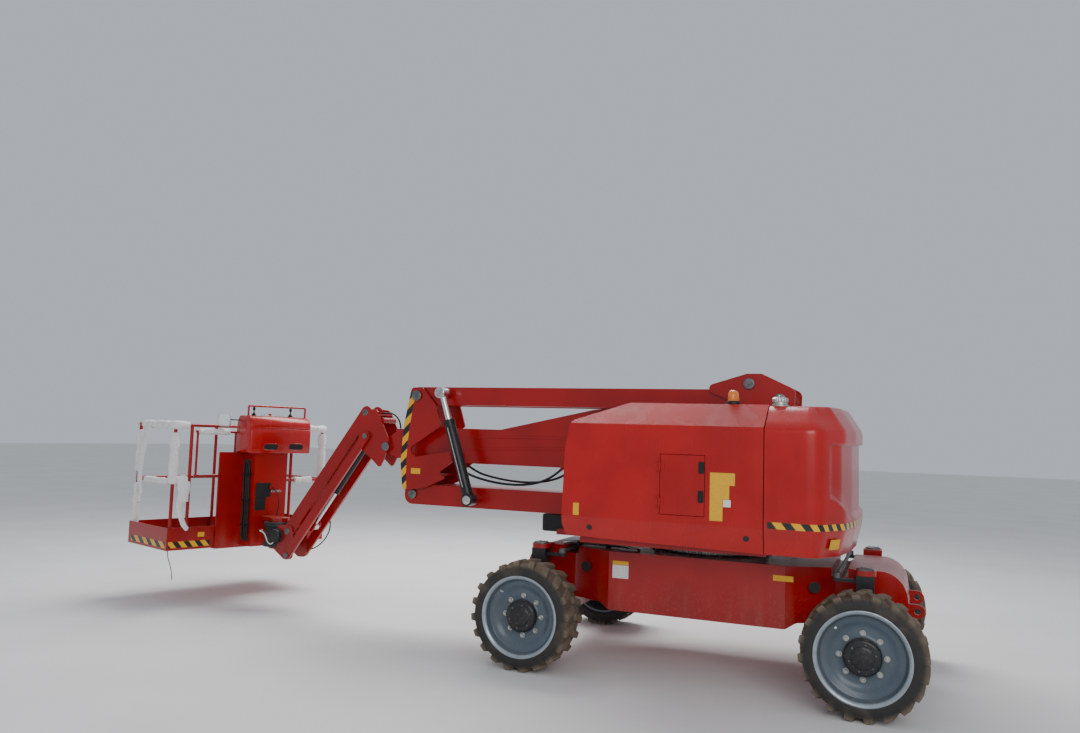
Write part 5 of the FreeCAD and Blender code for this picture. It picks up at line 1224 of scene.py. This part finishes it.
# %% Console controls
PANEL_Z, BUTTON_AT = 1.9765, (0.400, -0.050, 1.9765)
BOOT = [(0.0, 0.0)] + [(0.001 + 0.030 * s, 0.030 - 0.019 * s + 0.0025 * math.cos(s * 8 * math.pi))
                       for s in np.linspace(0, 1, 33)]
STICK = ((0.028, 0.0), (0.028, 0.006), (0.056, 0.006), (0.060, 0.012), (0.070, 0.0155),
         (0.086, 0.0145), (0.094, 0.009), (0.096, 0.0))
SWITCH = ((0, 0), (0, 0.009), (0.004, 0.009), (0.005, 0.004), (0.022, 0.0028), (0.024, 0))
STOP_RING = ((-0.003, 0), (-0.003, 0.028), (0.004, 0.028), (0.005, 0.024), (0.005, 0))
BUTTON = ((0.004, 0), (0.004, 0.010), (0.014, 0.010), (0.016, 0.020), (0.024, 0.021), (0.029, 0.016),
          (0.030, 0))
sticks = [spun(profile, (0.395, v, PANEL_Z), UP, 28) for v in (0.150, -0.300) for profile in (BOOT, STICK)]
switches = [spun(SWITCH, (0.400, v, PANEL_Z), (0.25, 0, 1), 14)
            for v in (-0.200, -0.160, -0.120, 0.020, 0.055)]
basket_skin("console_sticks", sticks, black_plastic, "basket", "black_paint")
basket_skin("console_switches", switches, steel, "basket", "rod_chrome")
basket_skin("stop_ring", [spun(STOP_RING, BUTTON_AT, UP)], label_yellow, "basket", "amber_plastic")
basket_skin("stop_button", [spun(BUTTON, BUTTON_AT, UP)], moulded, "basket", "red_plastic")
toe_label = label((0.5290, 0.603, 0.708), -LEFT, 0.072, 0.048)
basket_skin("toe_label", [toe_label], label_yellow, "basket", "red_paint")
print("grids of the sticks", len(sticks))

# %% [markdown]
# The rails still wear white foam from delivery. Each wrap is a sleeve: its radius bulges in slow
# waves along and round it, is pinched where tape holds it and closes to nothing at both ends.

# %% Foam wraps
foam = plain("white_foam", (0.80, 0.80, 0.79), 0.8, shade=0.10, scale=45.0, grain=0.45)
FOAM_STEP, TAPE_PITCH, CLOSING = 0.012, 0.26, 0.014


def evenly(points):
    """The softened route at even steps, and how far along each step lies."""
    line = softened(points, 3)
    length = walked_along(line)[-1]
    steps = np.linspace(0, length, max(12, int(length / FOAM_STEP)))
    return at_steps(line, steps), steps


def sleeve(points, wide, thick, seed, across=UP, steps=28):
    """Radius = ellipse of the two half sizes * (1 + slow waves) * pinches, drawn in at the ends."""
    line, s = evenly(points)
    s = s[:, None]
    turn = (np.arange(steps) * 2 * math.pi / steps)[None]
    wide = np.interp(s, np.linspace(0, s[-1, 0], np.size(wide)), np.ravel(wide))
    oval = wide * thick / np.sqrt((thick * np.cos(turn)) ** 2 + (wide * np.sin(turn)) ** 2)
    phase = seed * 2.399
    waves = 0.07 * np.sin(s * 34 + phase) + 0.05 * np.sin(2 * turn + s * 21 + phase)
    waves = waves + 0.035 * np.sin(3 * turn - s * 47 + phase)
    creases = 0.03 * np.sin(s * 150 + 2 * np.sin(turn * 2 + phase))
    from_tape = (s + 0.05 * seed) % TAPE_PITCH - TAPE_PITCH / 2
    tape = 0.16 * np.exp(-(from_tape / 0.010) ** 2)
    left = np.minimum(s, s[-1] - s)
    closing = np.sqrt(np.clip(1 - (1 - np.clip(left / CLOSING, 0, 1)) ** 2, 0.05, 1))
    return tube(line, oval * (1 + waves + creases - tape) * closing, across, steps)


def wrap(name, body, *part):
    """One sleeve of foam on a body."""
    made = basket_skin(name, [sleeve(*part)], foam, body, "red_paint", sharp=60.0)


def entry_run(x, z, *places):
    """A route along the entry side, which keeps x and z."""
    return [(x, v, z) for v in places]


NEAR_POST = (U_NEAR + POST_IN, V_HIGH - POST_IN)
FAR_POST = (U_FAR - POST_IN, V_HIGH - POST_IN)
END_POST = (U_NEAR + POST_IN, V_LOW + POST_IN)
near_top = [(1.25, V_HIGH, RAIL_Z), (0.66, V_HIGH, RAIL_Z), (0.575, 0.938, RAIL_Z),
            (0.558, 0.921, RAIL_Z), (U_NEAR, 0.86, RAIL_Z), (U_NEAR, 0.785, RAIL_Z)]
far_high = [(*FAR_POST, z) for z in (1.79, 1.56, 1.33)]
far_low = [(*FAR_POST, z) for z in (1.215, 0.95, 0.68)]
near_high = [(*NEAR_POST, 1.775), (NEAR_POST[0] - 0.004, NEAR_POST[1] + 0.004, 1.50),
             (NEAR_POST[0] + 0.012, NEAR_POST[1], 1.235)]
near_sheet = [(1.10, 0.976, 1.845), (1.13, 0.992, 1.72), (1.20, 0.998, 1.50), (1.225, 0.990, 1.30),
              (1.180, 0.978, 1.085)]
near_mid = [(u, V_HIGH, MID_Z) for u in (1.142, 0.85, 0.62)]
entry_mid = [(U_NEAR, 0.900, MID_Z), (U_NEAR, 0.84, MID_Z + 0.012), (U_NEAR, 0.790, MID_Z + 0.004)]
entry_sheet = [(0.503, 0.835, 1.275), (0.497, 0.832, 1.16), (0.500, 0.835, 1.05)]
entry_strip = [(0.508, 0.868, 1.11), (0.500, 0.872, 0.98), (0.503, 0.835, 0.87), (0.512, 0.790, 0.79),
               (0.520, 0.755, 0.765)]
end_top = [(U_NEAR, -0.53, RAIL_Z), (U_NEAR, -0.78, RAIL_Z), (0.558, -0.847, RAIL_Z),
           (0.575, -0.864, RAIL_Z), (0.70, V_LOW, RAIL_Z)]
end_high = [(*END_POST, 1.80), (END_POST[0] - 0.01, END_POST[1], 1.52), (*END_POST, 1.24)]
wrap("foam_top_rail", "basket", near_top, 0.046, 0.041, 1)
wrap("foam_far_post_high", "basket", far_high, 0.040, 0.036, 2, LEFT)
wrap("foam_far_post_low", "basket", far_low, 0.038, 0.035, 3, LEFT)
wrap("foam_near_post", "basket", near_high, 0.050, 0.044, 4, LEFT)
wrap("foam_sheet_near", "basket", near_sheet, [0.078, 0.082, 0.074, 0.052, 0.022], 0.012, 5, LEFT)
wrap("foam_mid_rail", "basket", near_mid, 0.037, 0.034, 6)
wrap("foam_mid_entry", "basket", entry_mid, 0.052, 0.056, 7)
wrap("foam_sheet_entry", "basket", entry_sheet, [0.060, 0.062, 0.056], 0.014, 8, AHEAD)
wrap("foam_strip_entry", "basket", entry_strip, [0.026, 0.030, 0.026, 0.030, 0.022], 0.011, 13, AHEAD)
wrap("foam_end_rail", "basket", end_top, 0.046, 0.041, 9)
wrap("foam_end_post", "basket", end_high, 0.048, 0.042, 10, LEFT)
wrap("foam_end_mid", "basket", entry_run(U_NEAR, MID_Z, -0.475, -0.60, -0.72), 0.038, 0.034, 11)
wrap("foam_gate", "gate", entry_run(U_NEAR, 1.790, 0.690, 0.50, 0.33), 0.036, 0.034, 12)

# %% [markdown]
# The drive that turns the basket is a black rounded casting with a bolted cover on its end. Its
# motor stands beside it, and a pale pipe loops over its near side.

# %% Rotary drive
DRIVE_LOW, DRIVE_HIGH = 0.602, 0.858
CASTING = ((DRIVE_LOW, 0.010), (DRIVE_LOW + 0.006, 0.0), (0.640, 0.0), (0.648, 0.014), (0.700, 0.016),
           (0.712, 0.004), (0.745, 0.004), (0.757, 0.016), (0.806, 0.014), (0.815, 0.0),
           (DRIVE_HIGH - 0.006, 0.0), (DRIVE_HIGH, 0.005))
COVER = ((0, 0), (0, 0.062), (0.006, 0.062), (0.010, 0.056), (0.010, 0.030), (0.014, 0.028), (0.014, 0))
MOTOR = ((0.0, 0.0), (0.0, 0.078), (0.012, 0.078), (0.016, 0.070), (0.052, 0.070), (0.060, 0.064),
         (0.066, 0.050), (0.069, 0.026), (0.070, 0.0))
cast = stacked(rounded(0.222, 0.296, 0.070, 64), DRIVE_X + 0.012, 2 / 0.296, CASTING)
skin("drive_casting", [cast], black, "basket_support", "black_paint", replaces=("rotary_drive",))
end_cover = spun(COVER, (DRIVE_X + 0.02, 0.140, 0.727), LEFT, 40)
cover_heads = ring_of_bolts((DRIVE_X + 0.02, 0.149, 0.727), LEFT, 6, 0.046, 0.012, 0.005)
motor = spun(MOTOR, (4.530, 0.1232, 0.725), LEFT, 48)
motor_heads = ring_of_bolts((4.530, 0.1352, 0.725), LEFT, 4, 0.0735, 0.009, 0.004, 0.8)
pipe_line = softened([(4.705, 0.146, 0.775), (4.705, 0.200, 0.772), (4.640, 0.206, 0.762),
                      (4.605, 0.206, 0.715), (4.585, 0.206, 0.665), (4.545, 0.204, 0.642),
                      (4.530, 0.190, 0.655), (4.530, 0.170, 0.668)])
drive = [end_cover] + cover_heads + [motor] + motor_heads
skin("drive_cover", drive, black, "basket_support", "black_paint")
skin("drive_pipe", [tube(pipe_line, 0.006, LEFT)], label_white, "basket_support", "rod_chrome")
print("drive grids", len(drive))

# %% [markdown]
# The work lamp stands on a bent bar from the console's flank: a rounded shell, a bezel round its
# mouth and the glass. All three are plates with big corners, laid square to where it points.

# %% Work lamp on its bar
LAMP_AT = np.array((0.505, 0.430, 1.925))
lamp_out = unit((-0.75, 0.62, 0.10))
lamp_across = unit(np.cross(UP, lamp_out))
lamp_up = np.cross(lamp_out, lamp_across)
LAMP_ROWS = ((-0.055, 0.125, 0.140, 0.060, 0.028, 0.014), (0.004, 0.132, 0.147, 0.010, 0.030, 0.003),
             (0.0135, 0.112, 0.127, 0.003, 0.024, 0.002))
shell, bezel, glass = (slab(LAMP_AT + lamp_out * out, lamp_across, lamp_up, *sizes)
                       for out, *sizes in LAMP_ROWS)
bar_line = softened([(0.440, 0.280, 1.925), (0.440, 0.350, 1.925), (0.455, 0.380, 1.925),
                     (0.510, 0.410, 1.925)], 2)
basket_skin("work_lamp_head", [shell, bezel], lamp_shell, "basket", "lamp_plastic", replaces=("work_lamp",))
basket_skin("work_lamp_glass", [glass], lens_glass, "basket", "lamp_plastic")
basket_skin("work_lamp_bar", [tube(bar_line, 0.009, UP, 14)], dull_steel, "basket", "black_paint")
print("lamp parts", len(LAMP_ROWS))

# %% [markdown]
# The console is a moulded box with soft edges, so one section (u, z) is carried across the basket
# and drawn in at both ends. A guard tube stands over its panel.

# %% Console housing
HOUSING = ((0.196, 1.5745), (0.190, 1.585), (0.1890, 1.700), (0.1900, 1.790), (0.1960, 1.828),
           (0.2060, 1.842), (0.1980, 1.852), (0.1935, 1.866), (0.2000, 1.900), (0.2200, 1.936),
           (0.2480, 1.960), (0.2850, 1.9715), (0.3600, 1.9755), (0.4450, 1.9785), (0.4700, 1.970),
           (0.4900, 1.935), (0.5040, 1.885), (0.5065, 1.800), (0.5065, 1.585), (0.5020, 1.5745))
HOUSING_ENDS = (-0.453, 0.287)
END_ROWS = ((0.0, 0.020), (0.003, 0.011), (0.009, 0.004), (0.018, 0.0))
GUARD_U, GUARD_LOW, GUARD_TOP = 0.309, 1.960, 2.080


def housing():
    """The section (u, z) at each v; near both ends it is drawn in toward its middle."""
    section = np.array(HOUSING)
    middle = section.mean(axis=0)
    reach = section - middle
    low, high = HOUSING_ENDS
    rows = [(low + d, draw) for d, draw in END_ROWS] + [(high - d, draw) for d, draw in END_ROWS[::-1]]
    rings = [np.insert(middle + reach - np.sign(reach) * np.minimum(draw, np.abs(reach)), 1, v, axis=1)
             for v, draw in rows]
    return capped(np.array(rings))


guard_line = [(GUARD_U, v, z) for v, z in ((0.262, GUARD_LOW), (0.262, 2.045), (0.262, GUARD_TOP),
                                           (0.227, GUARD_TOP), (-0.398, GUARD_TOP), (-0.433, GUARD_TOP),
                                           (-0.433, 2.045), (-0.433, GUARD_LOW))]
guard = tube(softened(guard_line, 3), 0.011, AHEAD, 16)
basket_skin("console_housing", [housing(), guard], moulded, "basket", "red_plastic", sharp=35.0,
            replaces=("control_console",))
print("console rings", len(END_ROWS) * 2)

# %% [markdown]
# A black block on the deck's front takes the lower arm's weight when the machine is stowed.

# %% Arm rest
REST_ROWS = ((1.000, 0.010), (1.006, 0.002), (1.012, 0.0), (1.128, 0.0), (1.136, 0.002), (1.150, 0.004))
rest = stacked(rounded(0.33, 0.38, 0.03, 48), 1.335, 5, REST_ROWS)
skin("arm_rest_block", [rest], black_plastic, "turret", "black_paint")
print("arm rest", rest.shape)

# %% [markdown]
# The stage is plain: a pale floor, a soft sky all round, one large lamp above and behind as in
# the yard, and a weaker one beside the camera so that the shaded side keeps its colour.

# %% Floor and light
FLOOR_HALF = 60
floor_finish = plain("pale_floor", (0.80, 0.79, 0.77), 0.85, shade=0.06, scale=0.8)
floor_mesh = bpy.data.meshes.new("floor")
corners = [(x * FLOOR_HALF, y * FLOOR_HALF, 0) for x, y in ((-1, -1), (1, -1), (1, 1), (-1, 1))]
floor_mesh.from_pydata(corners, [], [(0, 1, 2, 3)])
floor_mesh.materials.append(floor_finish.material)
floor = bpy.data.objects.new("floor", floor_mesh)
bpy.context.scene.collection.objects.link(floor)
world = bpy.data.worlds.new("sky")
bpy.context.scene.world = world
world.use_nodes = True
sky = world.node_tree.nodes["Background"]
sky.inputs["Color"].default_value = (0.80, 0.86, 0.95, 1)
sky.inputs["Strength"].default_value = 0.62


def soft_lamp(name, at, towards, width, height, power):
    """A rectangular lamp that looks at one place; a bigger one throws softer shadows."""
    data = bpy.data.lights.new(name, "AREA")
    data.shape = "RECTANGLE"
    data.size, data.size_y = width, height
    data.energy = power
    lamp = bpy.data.objects.new(name, data)
    bpy.context.scene.collection.objects.link(lamp)
    lamp.location = at
    lamp.rotation_euler = (Vector(towards) - Vector(at)).to_track_quat("-Z", "Y").to_euler()


soft_lamp("overhead", (1.5, -4.0, 7.5), (0, 0, 0.8), 7.0, 4.0, 800)
soft_lamp("beside_camera", (-6.0, 9.0, 4.5), (0, 0, 1.2), 6.0, 4.0, 330)
print("lamps", len(bpy.data.lights))
